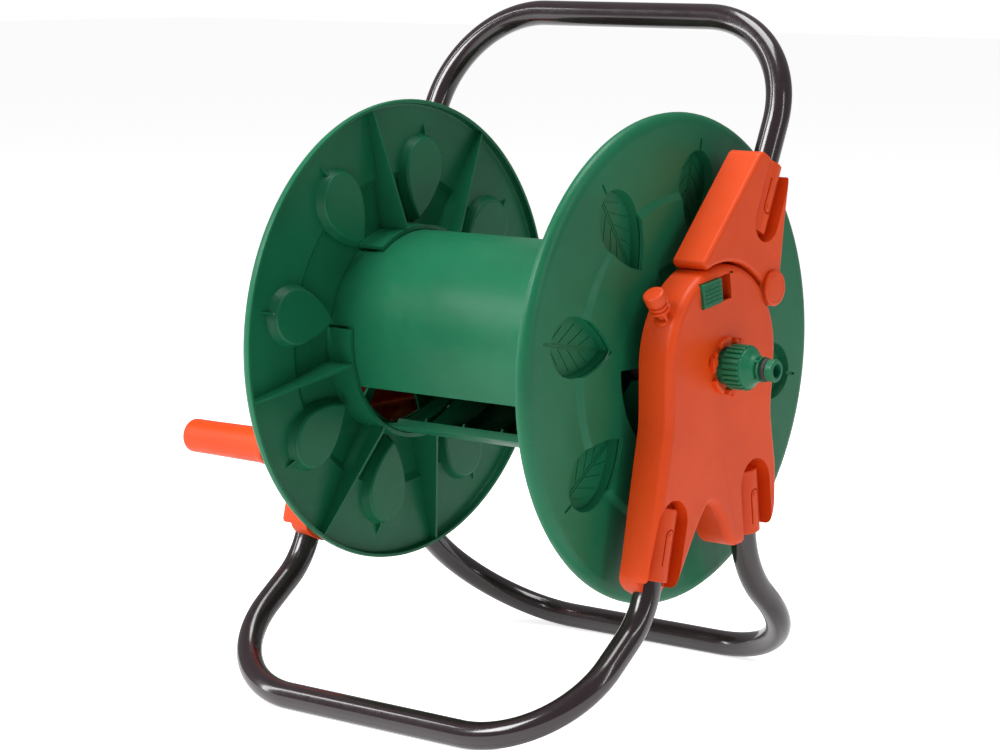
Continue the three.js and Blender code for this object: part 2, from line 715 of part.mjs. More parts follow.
function tapAdapter() {
  const nutInner = SPIGOT_RADIUS + GAP + 0.2;
  const outline = [];
  for (let k = 0; k < NUT_RIBS; k++) {
    const step = 360 / NUT_RIBS;
    outline.push(arc(NUT_RADIUS, k * step, 0, 1)[0], arc(NUT_RADIUS - 0.9, (k + 0.5) * step, 0, 1)[0]);
  }
  const ribbed = prism(outline, 178.5, 191);
  const nipple = turned([
    [NIPPLE_BORE, 190],
    [NUT_RADIUS - 0.6, 190],
    [NUT_RADIUS - 1.4, 194],
    [11, 198.5],
    [7, 200],
    [7, 202],
    [9, 202],
    [9, 203.6],
    [6.6, 203.6],
    [6.6, 208.4],
    [NIPPLE_RADIUS, 208.4],
    [NIPPLE_RADIUS, NIPPLE_END - 1],
    [NIPPLE_RADIUS - 1, NIPPLE_END],
    [NIPPLE_BORE, NIPPLE_END],
  ]);
  const room = disc(nutInner, 178, 190.4);
  const way = disc(NIPPLE_BORE, 188, NIPPLE_END + 1, [0, 0], 12);
  return union(ribbed, nipple).subtract(room).subtract(way);
}

function adapterWasher() {
  return ring(NIPPLE_BORE + 1, SPIGOT_RADIUS - 0.2, 188 + GAP, 190.4 - GAP);
}

function nippleRing() {
  const [x0, x1] = [204 + GAP / 2, 208.2 - GAP / 2];
  const [inner, outer] = [6.6 + GAP, 8.3];
  return turned([[inner, x0], [outer - 1, x0], [outer, x0 + 1.2], [outer, x1 - 1.2], [outer - 1, x1], [inner, x1]]);
}

// The turning elbow that carries water from the spigot to the hose inside the core.
function hoseElbow() {
  const cupInner = (SPIGOT_RADIUS + GAP) / Math.cos(Math.PI / ROUND_SIDES);
  const cup = turned([
    [0, elbowEnd],
    [hubRadius - 1, elbowEnd],
    [hubRadius - 1, plateauFace - HUB_REACH - GAP],
    [cupInner, plateauFace - HUB_REACH - GAP],
    [cupInner, spigotEnd - 2 - GAP],
    [SPIGOT_BORE, spigotEnd - 2 - GAP],
    [SPIGOT_BORE, tailX + 2],
    [0, tailX + 2],
  ]);
  const angle = THREE.MathUtils.degToRad(FRONT_SHELL[0] - HOSE_GAP / 2);
  const direction = new THREE.Vector3(0, -Math.cos(angle), Math.sin(angle));
  const tail = turnedAlong(
    [[0, 10], [7, 10], [7, 40], [6.6, 44], [8.2, 44], [6.6, 50], [8.2, 50], [6.6, 57], [0, 57]],
    new THREE.Vector3(tailX, 0, 0),
    direction,
    16,
  );
  const way = rodAlong(TAIL_BORE, new THREE.Vector3(tailX, 0, 0), direction, 60, 12);
  return union(cup, tail).subtract(way);
}

function spigotSeal() {
  return ring(SPIGOT_BORE + 0.5, SPIGOT_RADIUS - 0.5, spigotEnd - 2, spigotEnd - GAP);
}

// ---- Crank, drawn on the inlet side and mirrored

const crankEnd = [-CRANK_RADIUS * Math.sin(Math.PI / 2 - CRANK_ANGLE), -CRANK_RADIUS * Math.sin(CRANK_ANGLE)];

function crankArm() {
  const front = CRANK_BACK + CRANK_DEPTH;
  const along = heading([0, 0], crankEnd);
  const across = [-along[1], along[0]];
  const side = (s, t) => [along[0] * s + across[0] * t, along[1] * s + across[1] * t];
  const wide = CRANK_WIDTH / 2;
  const narrow = wide * 0.82;
  const bar = [side(0, -wide), side(CRANK_RADIUS, -narrow), side(CRANK_RADIUS, narrow), side(0, wide)];
  const pocket = [side(24, -wide + 4), side(96, -narrow + 3), side(96, narrow - 3), side(24, wide - 4)];
  const rib = prism([side(20, -1), side(100, -1), side(100, 1), side(20, 1)], CRANK_BACK + 1, front - 3);
  const hub = disc(17, CRANK_BACK, front + 3);
  const tip = disc(13, CRANK_BACK, front, crankEnd);
  const half = AXLE_SQUARE / 2 + GAP;
  const socket = block([CRANK_BACK - 1, front], [-half, half], [-half, half]);
  const screwHole = disc(2.4, CRANK_BACK, front + 4, [0, 0], 12);
  const pinHole = disc(GRIP_PIN_RADIUS + GAP, CRANK_BACK - 1, front + 1, crankEnd, 16);
  return union(prism(bar, CRANK_BACK, front), hub, tip)
    .subtract(prism(pocket, CRANK_BACK + 3, front + 1))
    .add(rib)
    .subtract(socket)
    .subtract(screwHole)
    .subtract(pinHole);
}

function crankScrew() {
  const head = CRANK_BACK + CRANK_DEPTH + 3 + GAP;
  return turned([[0, CRANK_BACK - 8], [1.7, CRANK_BACK - 8], [1.7, head], [5, head], [4, head + 2.6], [0, head + 3]], 16);
}

function gripPin() {
  const back = CRANK_BACK - 0.8;
  const end = GRIP_END - 9;
  return turned(
    [[0, back - 1], [9, back - 1], [9, back - GAP + 0.5], [GRIP_PIN_RADIUS, back - GAP + 0.5], [GRIP_PIN_RADIUS, end], [0, end]],
    16,
    crankEnd,
  );
}

function crankGrip() {
  const start = CRANK_BACK + CRANK_DEPTH + 0.6;
  const bore = (GRIP_PIN_RADIUS + RUNNING) / Math.cos(Math.PI / 16);
  const body = turned(
    [
      [0, start],
      [GRIP_BASE_RADIUS - 1, start],
      [GRIP_BASE_RADIUS, start + 1.5],
      [GRIP_BASE_RADIUS, start + 5],
      [GRIP_RADIUS + 0.5, start + 12],
      [GRIP_RADIUS, GRIP_END - 5],
      [GRIP_RADIUS - 1.4, GRIP_END - 1.6],
      [GRIP_RADIUS - 4.5, GRIP_END],
      [0, GRIP_END],
    ],
    ROUND_SIDES,
    crankEnd,
  );
  return body.subtract(disc(bore, start - 1, GRIP_END - 8, crankEnd, 16));
}

function crankBush() {
  const inner = (AXLE_RADIUS + RUNNING) / Math.cos(Math.PI / ROUND_SIDES);
  const outer = AXLE_RADIUS + BUSH_WALL;
  return turned([
    [inner, BRACKET_BACK + 1],
    [outer, BRACKET_BACK + 1],
    [outer, BRACKET_FACE + GAP],
    [outer + 4, BRACKET_FACE + GAP],
    [outer + 4, BRACKET_FACE + 2.4],
    [inner, BRACKET_FACE + 2.4],
  ]);
}

// ---- Small parts

function hingePin() {
  const face = BRACKET_FACE + GAP;
  const back = BRACKET_BACK - 3;
  const pin = HINGE_PIN_RADIUS;
  return turned(
    [
      [0, back],
      [pin - 1, back],
      [pin, back + 1],
      [pin, face],
      [HINGE_HEAD_RADIUS, face],
      [HINGE_HEAD_RADIUS, face + HINGE_HEAD - 1],
      [HINGE_HEAD_RADIUS - 1, face + HINGE_HEAD],
      [0, face + HINGE_HEAD],
    ],
    ROUND_SIDES,
    HINGE,
  );
}

function hingeClip() {
  const inner = (HINGE_PIN_RADIUS + GAP) / Math.cos(Math.PI / ROUND_SIDES);
  const back = BRACKET_BACK - GAP;
  return turned([[inner, back - 1], [9, back - 1], [9, back], [inner, back]], ROUND_SIDES, HINGE);
}

function parkingPeg() {
  const lean = [Math.cos(PEG_LEAN), Math.sin(PEG_LEAN)];
  const from = new THREE.Vector3(
    PEG_X,
    HEAD_CENTRE[0] + Math.cos(PEG_FOOT) * HEAD_RADIUS - lean[0] * PEG_SUNK,
    HEAD_CENTRE[1] + Math.sin(PEG_FOOT) * HEAD_RADIUS - lean[1] * PEG_SUNK,
  );
  const peg = turnedAlong(
    [
      [0, 0],
      [PEG_RADIUS, 0],
      [PEG_RADIUS, 3.5],
      [PEG_NECK, 4.4],
      [PEG_NECK, 9.2],
      [PEG_RADIUS, 10],
      [PEG_RADIUS, 11.5],
      [6, 12.2],
      [6, 13.4],
      [PEG_RADIUS, 14],
      [PEG_RADIUS, 15.2],
      [6, 15.9],
      [6, 17],
      [PEG_RADIUS, 17.6],
      [PEG_RADIUS, PEG_LENGTH - 1.5],
      [6, PEG_LENGTH],
      [0, PEG_LENGTH],
    ],
    from,
    new THREE.Vector3(0, lean[0], lean[1]),
    20,
  );
  return peg.subtract(disc(HEAD_RADIUS + GAP, 100, 200, HEAD_CENTRE, 36));
}

// ---- Assembly

const LOOKS = {
  green: { color: "#1f7a50", roughness: 0.42, metalness: 0 },
  orange: { color: "#e8522b", roughness: 0.45, metalness: 0 },
  tube: { color: "#2f2327", roughness: 0.28, metalness: 0.1 },
  rubber: { color: "#141414", roughness: 0.7, metalness: 0 },
  steel: { color: "#b8babd", roughness: 0.3, metalness: 1 },
  black: { color: "#1d1c1c", roughness: 0.5, metalness: 0 },
};

const assembly = new THREE.Group();
assembly.name = "garden_hose_reel";

function place(name, look, body, mirrored = false) {
  const { numProp, vertProperties, triVerts } = body.getMesh();
  const position = new Float32Array((vertProperties.length / numProp) * 3);
  for (let i = 0; i < position.length / 3; i++) {
    position[3 * i] = (mirrored ? -1 : 1) * vertProperties[numProp * i];
    position[3 * i + 1] = vertProperties[numProp * i + 1];
    position[3 * i + 2] = vertProperties[numProp * i + 2];
  }
  const index = Array.from(triVerts);
  if (mirrored) index.reverse();
  const geometry = new THREE.BufferGeometry();
  geometry.setAttribute("position", new THREE.BufferAttribute(position, 3));
  geometry.setIndex(index);
  geometry.computeVertexNormals();
  const mesh = new THREE.Mesh(geometry, new THREE.MeshStandardMaterial(LOOKS[look]));
  mesh.name = name;
  assembly.add(mesh);
}

const boreRadius = TUBE_RADIUS - TUBE_WALL;
place("front_foot_tube", "tube", swept(frontRoute, TUBE_RADIUS, boreRadius));
place("rear_foot_tube", "tube", swept(rearRoute, TUBE_RADIUS, boreRadius));
place("handle_tube", "tube", swept(carryRoute, TUBE_RADIUS, boreRadius));

place("inlet_side_bracket", "orange", inletBracket());
place("crank_side_bracket", "orange", crankBracket(), true);
for (const [side, mirrored] of [["inlet", false], ["crank", true]]) {
  place(side + "_handle_bracket", "orange", upperBracket(), mirrored);
  place(side + "_hinge_pin", "orange", hingePin(), mirrored);
  place(side + "_hinge_clip", "steel", hingeClip(), mirrored);
  place(side + "_latch", "green", latch(), mirrored);
}

place("inlet_flange", "green", inletFlange());
place("crank_flange", "green", crankFlange(), true);
place("front_core_shell", "green", coreShell(FRONT_SHELL, 0));
place("rear_core_shell", "green", coreShell(REAR_SHELL, 180));

place("inlet_spigot", "green", inletSpigot());
place("spigot_seal", "rubber", spigotSeal());
place("hose_elbow", "black", hoseElbow());
place("tap_adapter", "green", tapAdapter());
place("adapter_washer", "rubber", adapterWasher());
place("nipple_o_ring", "rubber", nippleRing());
place("parking_peg", "orange", parkingPeg());

place("crank_bush", "black", crankBush(), true);
place("crank_arm", "orange", crankArm(), true);
place("crank_screw", "steel", crankScrew(), true);
place("grip_pin", "steel", gripPin(), true);
place("crank_grip", "orange", crankGrip(), true);

// The finished reel stands on the floor, centred over the origin.
const extent = new THREE.Box3().setFromObject(assembly);
const centre = extent.getCenter(new THREE.Vector3());
assembly.position.set(-centre.x, -centre.y, -extent.min.z);

const root = new THREE.Group();
root.add(assembly);
root.updateMatrixWorld(true);

export default root;
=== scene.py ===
import json
import math

import bpy
from bpy.props import FloatProperty, FloatVectorProperty, PointerProperty
from mathutils import Matrix, Vector


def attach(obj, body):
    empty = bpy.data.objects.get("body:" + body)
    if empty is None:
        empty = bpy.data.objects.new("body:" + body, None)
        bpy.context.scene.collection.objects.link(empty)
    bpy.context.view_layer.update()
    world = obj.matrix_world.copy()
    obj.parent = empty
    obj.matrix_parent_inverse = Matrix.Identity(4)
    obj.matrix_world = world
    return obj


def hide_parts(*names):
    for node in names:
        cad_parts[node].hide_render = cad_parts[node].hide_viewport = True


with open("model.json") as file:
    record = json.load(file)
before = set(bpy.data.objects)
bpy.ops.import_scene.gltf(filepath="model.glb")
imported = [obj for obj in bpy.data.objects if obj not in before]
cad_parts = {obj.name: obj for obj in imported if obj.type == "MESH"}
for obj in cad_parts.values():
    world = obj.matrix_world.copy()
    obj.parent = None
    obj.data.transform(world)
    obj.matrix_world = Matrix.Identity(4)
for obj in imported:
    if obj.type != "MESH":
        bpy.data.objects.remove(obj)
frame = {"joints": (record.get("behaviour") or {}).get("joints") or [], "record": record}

bl_info = {
    "name": "Garden hose reel",
    "version": (1, 0, 0),
    "blender": (4, 5, 0),
    "location": "3D View > Sidebar > Hose reel",
    "description": "Builds the finished look of a free-standing garden hose reel",
    "category": "Object",
}

MM = 0.001
WELD = 0.004 * MM
SMOOTH_ANGLE = math.radians(32)

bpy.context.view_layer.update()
RECORD = frame["record"]
BODY_OF = {node: body for body, nodes in RECORD["behaviour"]["bodies"].items() for node in nodes}
JOINTS = {joint["name"]: joint for joint in frame["joints"]}
# Pieces are modelled about the middle of the drum's axis: X to the inlet side, Y to the rear, Z up
AXLE = Vector(JOINTS["drum_spin"]["pos_m"])


def seen_from_axle(point):
    """A point of the frame in millimetres from the drum's axis."""
    return (Vector(point) - AXLE) / MM


HINGE = tuple(seen_from_axle(JOINTS["handle_fold"]["pos_m"]))[1:]
GRIP_AXIS = tuple(seen_from_axle(JOINTS["grip_spin"]["pos_m"]))[1:]
LATCH_WAY = tuple(JOINTS["inlet_latch_slide"]["axis"])[1:]


# ---- Sizes and colours


def length(label, description, millimetres):
    return FloatProperty(
        name=label, description=description, default=millimetres * MM, min=0.0, unit="LENGTH", precision=4
    )


def paint(label, description, colour):
    return FloatVectorProperty(
        name=label, description=description, default=colour, size=3, min=0.0, max=1.0, subtype="COLOR"
    )


class ReelSizes(bpy.types.PropertyGroup):
    """Sizes of the reel that the pieces are made from."""

    tube_radius: length("Tube", "Outside radius of the stand's tube", 9.5)
    leg_x: length("Leg", "Distance of the legs from the middle", 157.3)
    front_knee_bend: length("Front knee", "Bend radius at the front tube's knee", 64.0)
    front_bar_bend: length("Front bar", "Bend radius at the front bar's ends", 78.7)
    rear_knee_bend: length("Rear knee", "Bend radius at the rear tube's knee", 77.4)
    rear_bar_bend: length("Rear bar", "Bend radius at the rear bar's ends", 88.5)
    handle_bend: length("Handle bend", "Bend radius of the carry handle", 81.1)
    bracket_back: length("Bracket back", "Inner plane of the side brackets", 145.0)
    bracket_face: length("Bracket face", "Outer plane of the side brackets", 172.0)
    bracket_wall: length("Bracket wall", "Wall thickness of the brackets", 3.0)
    bracket_edge: length("Bracket edge", "Rounding of the side brackets' front edge", 6.0)
    handle_bracket_edge: length("Handle bracket edge", "Rounding of the handle brackets' front edge", 3.0)
    head_radius: length("Head", "Radius of the side bracket's round head", 66.0)
    seam: length("Seam", "Gap between side bracket and handle bracket", 1.6)
    sleeve_radius: length("Sleeve", "Outside radius of a tube's sleeve", 12.5)
    pocket_floor: length("Pocket floor", "Plane of the floor of a tube's pocket", 160.0)
    flange_radius: length("Flange", "Outside radius of a flange", 175.0)
    rim_edge: length("Rim edge", "Plane of the rim's inner edge", 120.5)
    web_face: length("Outer ring", "Outer plane of the flange's outer ring", 129.5)
    plateau_face: length("Plateau", "Outer plane of the flange's raised middle", 132.5)
    web: length("Web", "Wall thickness of a flange", 2.5)
    leaf_depth: length("Leaf depth", "Depth of the leaf pockets", 7.0)
    core_radius: length("Core", "Outside radius of the winding core", 77.25)
    core_wall: length("Core wall", "Wall thickness of the core's shells", 2.0)
    spigot_radius: length("Spigot", "Outside radius of the inlet spigot", 13.0)
    nut_radius: length("Nut", "Outside radius of the ribbed tap nut", 16.0)
    nipple_radius: length("Nipple", "Outside radius of the hose nipple", 8.0)
    crank_back: length("Crank", "Inner plane of the crank arm", 177.0)
    grip_end: length("Grip end", "Outer end of the crank's grip", 273.0)


class ReelColours(bpy.types.PropertyGroup):
    """Colours of the reel's finishes."""

    green: paint("Green", "Drum, latches, spigot and tap adapter", (0.010, 0.158, 0.072))
    green_shade: paint("Green shade", "Darker patches of the green plastic", (0.007, 0.128, 0.057))
    orange: paint("Orange", "Brackets, peg and crank", (0.76, 0.070, 0.006))
    orange_shade: paint("Orange shade", "Darker patches of the orange plastic", (0.67, 0.056, 0.004))
    enamel: paint("Enamel", "Brown-black enamel of the tubes", (0.016, 0.008, 0.010))
    black: paint("Black", "Elbow and bush", (0.014, 0.014, 0.014))
    rubber: paint("Rubber", "Seals", (0.012, 0.012, 0.012))
    steel: paint("Steel", "Pins, clips and screws", (0.55, 0.56, 0.58))
    paper: paint("Backdrop", "Floor under the reel", (0.92, 0.92, 0.92))


class InMillimetres:
    """Reads the sizes in millimetres."""

    def __getattr__(self, name):
        return getattr(bpy.context.scene.reel_sizes, name) / MM


size = InMillimetres()


# ---- Outlines, as lists of y and z in millimetres; angles in degrees, 0 to the front and 90 up


def arc(radius, start, end, steps, centre=(0, 0)):
    angles = [math.radians(start + (end - start) * k / steps) for k in range(steps + 1)]
    return [(centre[0] - radius * math.cos(a), centre[1] + radius * math.sin(a)) for a in angles]


def ring_piece(inner, outer, start, end, steps):
    return arc(outer, start, end, steps) + arc(inner, end, start, steps)


def softened(corners, steps=5):
    """Rounds the corners (y, z, radius) of an outline as far as its sides allow."""
    outline = []
    for k, (y, z, radius) in enumerate(corners):
        corner = Vector((y, z))
        before = Vector(corners[k - 1][:2]) - corner
        after = Vector(corners[(k + 1) % len(corners)][:2]) - corner
        half = before.angle(after) / 2
        if radius <= 0 or half > math.radians(89.7):
            outline.append((y, z))
            continue
        reach = min(radius / math.tan(half), 0.498 * before.length, 0.498 * after.length)
        radius = reach * math.tan(half)
        before.normalize()
        after.normalize()
        centre = corner + (before + after).normalized() * radius / math.sin(half)
        first = corner + before * reach - centre
        last = corner + after * reach - centre
        for j in range(steps + 1):
            share = j / steps
            spoke = first.slerp(last, share)
            outline.append(tuple(centre + spoke.normalized() * radius))
    return outline


def inset(outline, by):
    """Moves a counter-clockwise outline inwards."""
    moved = []
    for k, point in enumerate(outline):
        before = (Vector(point) - Vector(outline[k - 1])).normalized()
        after = (Vector(outline[(k + 1) % len(outline)]) - Vector(point)).normalized()
        scale = by / (1 + before.dot(after))
        moved.append((point[0] - (before.y + after.y) * scale, point[1] + (before.x + after.x) * scale))
    return moved


def heading(start, end):
    return tuple((Vector(end) - Vector(start)).normalized())


def along(origin, way, s, t):
    """The point s along a way and t to its left."""
    return (origin[0] + way[0] * s - way[1] * t, origin[1] + way[1] * s + way[0] * t)


def arch(apex, half_width, reach, way, steps=20):
    """A U outline with its round end at the apex."""
    turns = [math.pi * k / steps for k in range(steps + 1)]
    bow = [along(apex, way, half_width * (1 - math.sin(a)), half_width * math.cos(a)) for a in turns]
    return [along(apex, way, reach, -half_width), along(apex, way, reach, half_width)] + bow


# ---- Modelling with Blender's own tools


def put_down():
    """Leaves edit mode with nothing selected."""
    if bpy.context.mode != "OBJECT":
        bpy.ops.object.mode_set(mode="OBJECT")
    bpy.ops.object.select_all(action="DESELECT")


def pick_up(piece):
    put_down()
    piece.select_set(True)
    bpy.context.view_layer.objects.active = piece


def begin(add, **options):
    """Adds a primitive on its own and opens it for editing, all selected."""
    put_down()
    add(**options)
    bpy.ops.object.transform_apply(location=True, rotation=True, scale=True)
    bpy.ops.object.mode_set(mode="EDIT")
    bpy.ops.mesh.select_mode(type="VERT")
    bpy.ops.mesh.select_all(action="SELECT")


def pull(x, y, z):
    """Extrudes what is selected."""
    bpy.ops.mesh.extrude_region_move(TRANSFORM_OT_translate={"value": Vector((x, y, z)) * MM})


def done():
    """Welds, turns the faces out and leaves edit mode."""
    bpy.ops.mesh.select_all(action="SELECT")
    bpy.ops.mesh.remove_doubles(threshold=WELD)
    bpy.ops.mesh.normals_make_consistent(inside=False)
    bpy.ops.object.mode_set(mode="OBJECT")
    return bpy.context.active_object


def prism(outline, x0, x1, edge=0, steps=5):
    """Draws an outline, pulls it along X, and rounds its edge at x1."""
    begin(bpy.ops.mesh.primitive_plane_add, size=MM)
    bpy.ops.mesh.merge(type="CENTER")
    bpy.ops.transform.translate(value=Vector((x0, *outline[0])) * MM)
    for (y0, z0), (y1, z1) in zip(outline, outline[1:] + outline[:1]):
        pull(0, y1 - y0, z1 - z0)
    bpy.ops.mesh.select_all(action="SELECT")
    bpy.ops.mesh.remove_doubles(threshold=WELD)
    bpy.ops.mesh.edge_face_add()
    pull(x1 - x0, 0, 0)
    if edge:
        bpy.ops.mesh.region_to_loop()
        bpy.ops.mesh.bevel(offset=edge * MM, segments=steps, profile=0.5, affect="EDGES", clamp_overlap=False)
    return done()


def turned(profile, sides=64, centre=(0, 0), filled=True):
    """Turns a profile of radius and x about X: a disc, or a bare ring, is pulled and scaled from point to point."""
    radius, x = profile[0]
    begin(
        bpy.ops.mesh.primitive_circle_add,
        vertices=sides,
        radius=radius * MM,
        location=Vector((x, *centre)) * MM,
        rotation=(0, math.pi / 2, 0),
        fill_type="NGON" if filled else "NOTHING",
    )
    for next_radius, next_x in profile[1:]:
        pull(next_x - x, 0, 0)
        scale = next_radius / radius
        bpy.ops.transform.resize(value=(1, scale, scale), center_override=Vector((next_x, *centre)) * MM)
        radius, x = next_radius, next_x
    return done()


def tube_ring(inner, outer, x0, x1, sides=64, centre=(0, 0)):
    profile = [(inner, x0), (outer, x0), (outer, x1), (inner, x1), (inner, x0)]
    return turned(profile, sides, centre, filled=False)


def block(x, y, z, edge=0):
    """A block between two planes on each axis, with its edges rounded."""
    low, high = Vector((x[0], y[0], z[0])), Vector((x[1], y[1], z[1]))
    begin(bpy.ops.mesh.primitive_cube_add, size=MM, location=(low + high) / 2 * MM, scale=high - low)
    if edge:
        bpy.ops.mesh.bevel(offset=edge * MM, segments=3, profile=0.5, affect="EDGES")
    return done()


def set_down(piece, place):
    """Turns a piece modelled at the origin into its place."""
    pick_up(piece)
    piece.matrix_world = place
    bpy.ops.object.transform_apply(location=True, rotation=True, scale=True)
    return piece


def stood_on(piece, origin, way):
    """Turns a piece modelled along X onto a way in the YZ plane, from an origin in millimetres."""
    turn = Vector((1, 0, 0)).rotation_difference(Vector((0, *way)))
    return set_down(piece, Matrix.Translation(Vector(origin) * MM) @ turn.to_matrix().to_4x4())


def spun(piece, degrees):
    """Turns a piece round the drum's axis, forwards over the top."""
    return set_down(piece, Matrix.Rotation(math.radians(-degrees), 4, "X"))


def combined(piece, other, operation):
    pick_up(piece)
    modifier = piece.modifiers.new("Combine", "BOOLEAN")
    modifier.operation = operation
    modifier.solver = "MANIFOLD"
    modifier.object = other
    bpy.ops.object.modifier_apply(modifier=modifier.name)
    bpy.data.objects.remove(other)
    if not piece.data.polygons:
        raise RuntimeError("nothing is left of " + piece.name)
    return piece


def cut(piece, *others):
    for other in others:
        combined(piece, other, "DIFFERENCE")
    return piece


def fused(piece, *others):
    for other in others:
        combined(piece, other, "UNION")
    return piece


def grouped(pieces):
    """Joins pieces that stay clear of each other into one object."""
    put_down()
    for piece in pieces:
        piece.select_set(True)
    bpy.context.view_layer.objects.active = pieces[0]
    bpy.ops.object.join()
    return bpy.context.active_object


def copied(piece):
    pick_up(piece)
    bpy.ops.object.duplicate()
    return bpy.context.active_object


def opened_at(piece, kind, parts, test):
    """Opens a piece for editing with only the parts that pass a test selected."""
    pick_up(piece)
    bpy.ops.object.mode_set(mode="EDIT")
    bpy.ops.mesh.select_mode(type=kind)
    bpy.ops.mesh.select_all(action="DESELECT")
    bpy.ops.object.mode_set(mode="OBJECT")
    for part in parts:
        part.select = test(part)
    bpy.ops.object.mode_set(mode="EDIT")


def rounded(piece, width, steps=2, sharper=40, where=None):
    """Rounds the edges that are sharper than an angle and lie where the test says, in millimetres."""
    pick_up(piece)
    bpy.ops.object.mode_set(mode="EDIT")
    bpy.ops.mesh.select_mode(type="EDGE")
    bpy.ops.mesh.select_all(action="DESELECT")
    bpy.ops.mesh.edges_select_sharp(sharpness=math.radians(sharper))
    if where:
        bpy.ops.object.mode_set(mode="OBJECT")
        points = [vertex.co / MM for vertex in piece.data.vertices]
        chosen = [
            edge.index
            for edge in piece.data.edges
            if edge.select and all(where(points[end]) for end in edge.vertices)
        ]
        bpy.ops.object.mode_set(mode="EDIT")
        bpy.ops.mesh.select_all(action="DESELECT")
        bpy.ops.object.mode_set(mode="OBJECT")
        for index in chosen:
            piece.data.edges[index].select = True
        bpy.ops.object.mode_set(mode="EDIT")
    bpy.ops.mesh.bevel(offset=width * MM, segments=steps, profile=0.5, affect="EDGES", clamp_overlap=True)
    bpy.ops.object.mode_set(mode="OBJECT")
    return piece


def fitted(piece, node, finish, mirrored=False):
    """Puts a finished piece in its place, in the stead of its CAD node."""
    pick_up(piece)
    if mirrored:
        piece.scale.x = -1
    piece.location = AXLE
    bpy.ops.object.transform_apply(location=True, rotation=True, scale=True)
    bpy.ops.object.mode_set(mode="EDIT")
    bpy.ops.mesh.select_all(action="SELECT")
    bpy.ops.mesh.dissolve_degenerate(threshold=WELD)
    bpy.ops.mesh.select_all(action="SELECT")
    bpy.ops.mesh.normals_make_consistent(inside=False)
    bpy.ops.object.mode_set(mode="OBJECT")
    bpy.ops.object.shade_smooth_by_angle(angle=SMOOTH_ANGLE)
    modifier = piece.modifiers.new("Flat faces stay flat", "WEIGHTED_NORMAL")
    modifier.keep_sharp = True
    bpy.ops.object.modifier_apply(modifier=modifier.name)
    piece.name = node + "_finished"
    piece.data.name = piece.name
    piece.data.materials.clear()
    piece.data.materials.append(FINISHES[finish]())
    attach(piece, BODY_OF[node])
    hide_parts(node)
    return piece


# ---- Finishes


class Nodes:
    """A material's node tree with short ways to add to it."""

    def __init__(self, name):
        self.material = bpy.data.materials.new(name)
        self.material.use_nodes = True
        self.tree = self.material.node_tree
        self.surface = self.tree.nodes["Principled BSDF"]
        self.place = self.tree.nodes.new("ShaderNodeTexCoord").outputs["Object"]

    def add(self, kind, **inputs):
        node = self.tree.nodes.new(kind)
        for name, value in inputs.items():
            node.inputs[name.replace("_", " ")].default_value = value
        return node

    def link(self, source, target):
        self.tree.links.new(source, target)

    def noise(self, scale, detail=3.0, stretch=None):
        node = self.add("ShaderNodeTexNoise", Scale=scale, Detail=detail, Roughness=0.55)
        source = self.place
        if stretch:
            mapping = self.add("ShaderNodeMapping", Scale=stretch)
            self.link(source, mapping.inputs["Vector"])
            source = mapping.outputs["Vector"]
        self.link(source, node.inputs["Vector"])
        return node.outputs["Fac"]

    def spread(self, source, low, high, start=0.3, end=0.7):
        node = self.add("ShaderNodeMapRange", From_Min=start, From_Max=end, To_Min=low, To_Max=high)
        self.link(source, node.inputs["Value"])
        return node.outputs["Result"]

    def mixed(self, share, first, second):
        node = self.tree.nodes.new("ShaderNodeMix")
        node.data_type = "RGBA"
        colours = [socket for socket in node.inputs if socket.type == "RGBA"]
        self.link(share, node.inputs["Factor"])
        for socket, colour in zip(colours, (first, second)):
            if isinstance(colour, bpy.types.NodeSocket):
                self.link(colour, socket)
            else:
                socket.default_value = (*colour, 1)
        return next(socket for socket in node.outputs if socket.type == "RGBA")

    def bump(self, height, strength, distance, before=None):
        node = self.add("ShaderNodeBump", Strength=strength, Distance=distance * MM)
        self.link(height, node.inputs["Height"])
        if before:
            self.link(before, node.inputs["Normal"])
        return node.outputs["Normal"]


def moulded(name, colour, shade, gloss, marks):
    """Injection-moulded plastic: cloudy colour, a fine pebble, long soft flow marks and a few scuffs."""
    nodes = Nodes(name)
    clouds = nodes.spread(nodes.noise(11, 4), 0, 1, 0.35, 0.65)
    scuffs = nodes.spread(nodes.noise(85, 6, stretch=(1, 0.25, 1)), 0, 0.22, 0.64, 0.78)
    tint = nodes.mixed(clouds, shade, colour)
    worn = [channel * 0.75 + 0.05 for channel in colour]
    nodes.link(nodes.mixed(scuffs, tint, worn), nodes.surface.inputs["Base Color"])
    flow = nodes.noise(26, 2, stretch=(0.22, 1, 1))
    nodes.link(nodes.spread(nodes.noise(140, 5), gloss - 0.05, gloss + 0.08), nodes.surface.inputs["Roughness"])
    swell = nodes.bump(flow, marks, 0.35)
    pebble = nodes.bump(nodes.noise(1500, 2), 0.10, 0.06, swell)
    nodes.link(pebble, nodes.surface.inputs["Normal"])
    nodes.surface.inputs["Specular IOR Level"].default_value = 0.28
    return nodes.material


def kept(make):
    """Makes a finish once and keeps it for every piece that has it."""
    made = []

    def finish():
        if not made:
            made.append(make())
        return made[0]

    return finish


@kept
def green_plastic():
    colours = bpy.context.scene.reel_colours
    return moulded("Green plastic", colours.green, colours.green_shade, 0.36, 0.10)


@kept
def orange_plastic():
    colours = bpy.context.scene.reel_colours
    return moulded("Orange plastic", colours.orange, colours.orange_shade, 0.40, 0.07)


@kept
def black_plastic():
    colours = bpy.context.scene.reel_colours
    shade = [channel * 0.8 for channel in colours.black]
    return moulded("Black plastic", colours.black, shade, 0.45, 0.05)


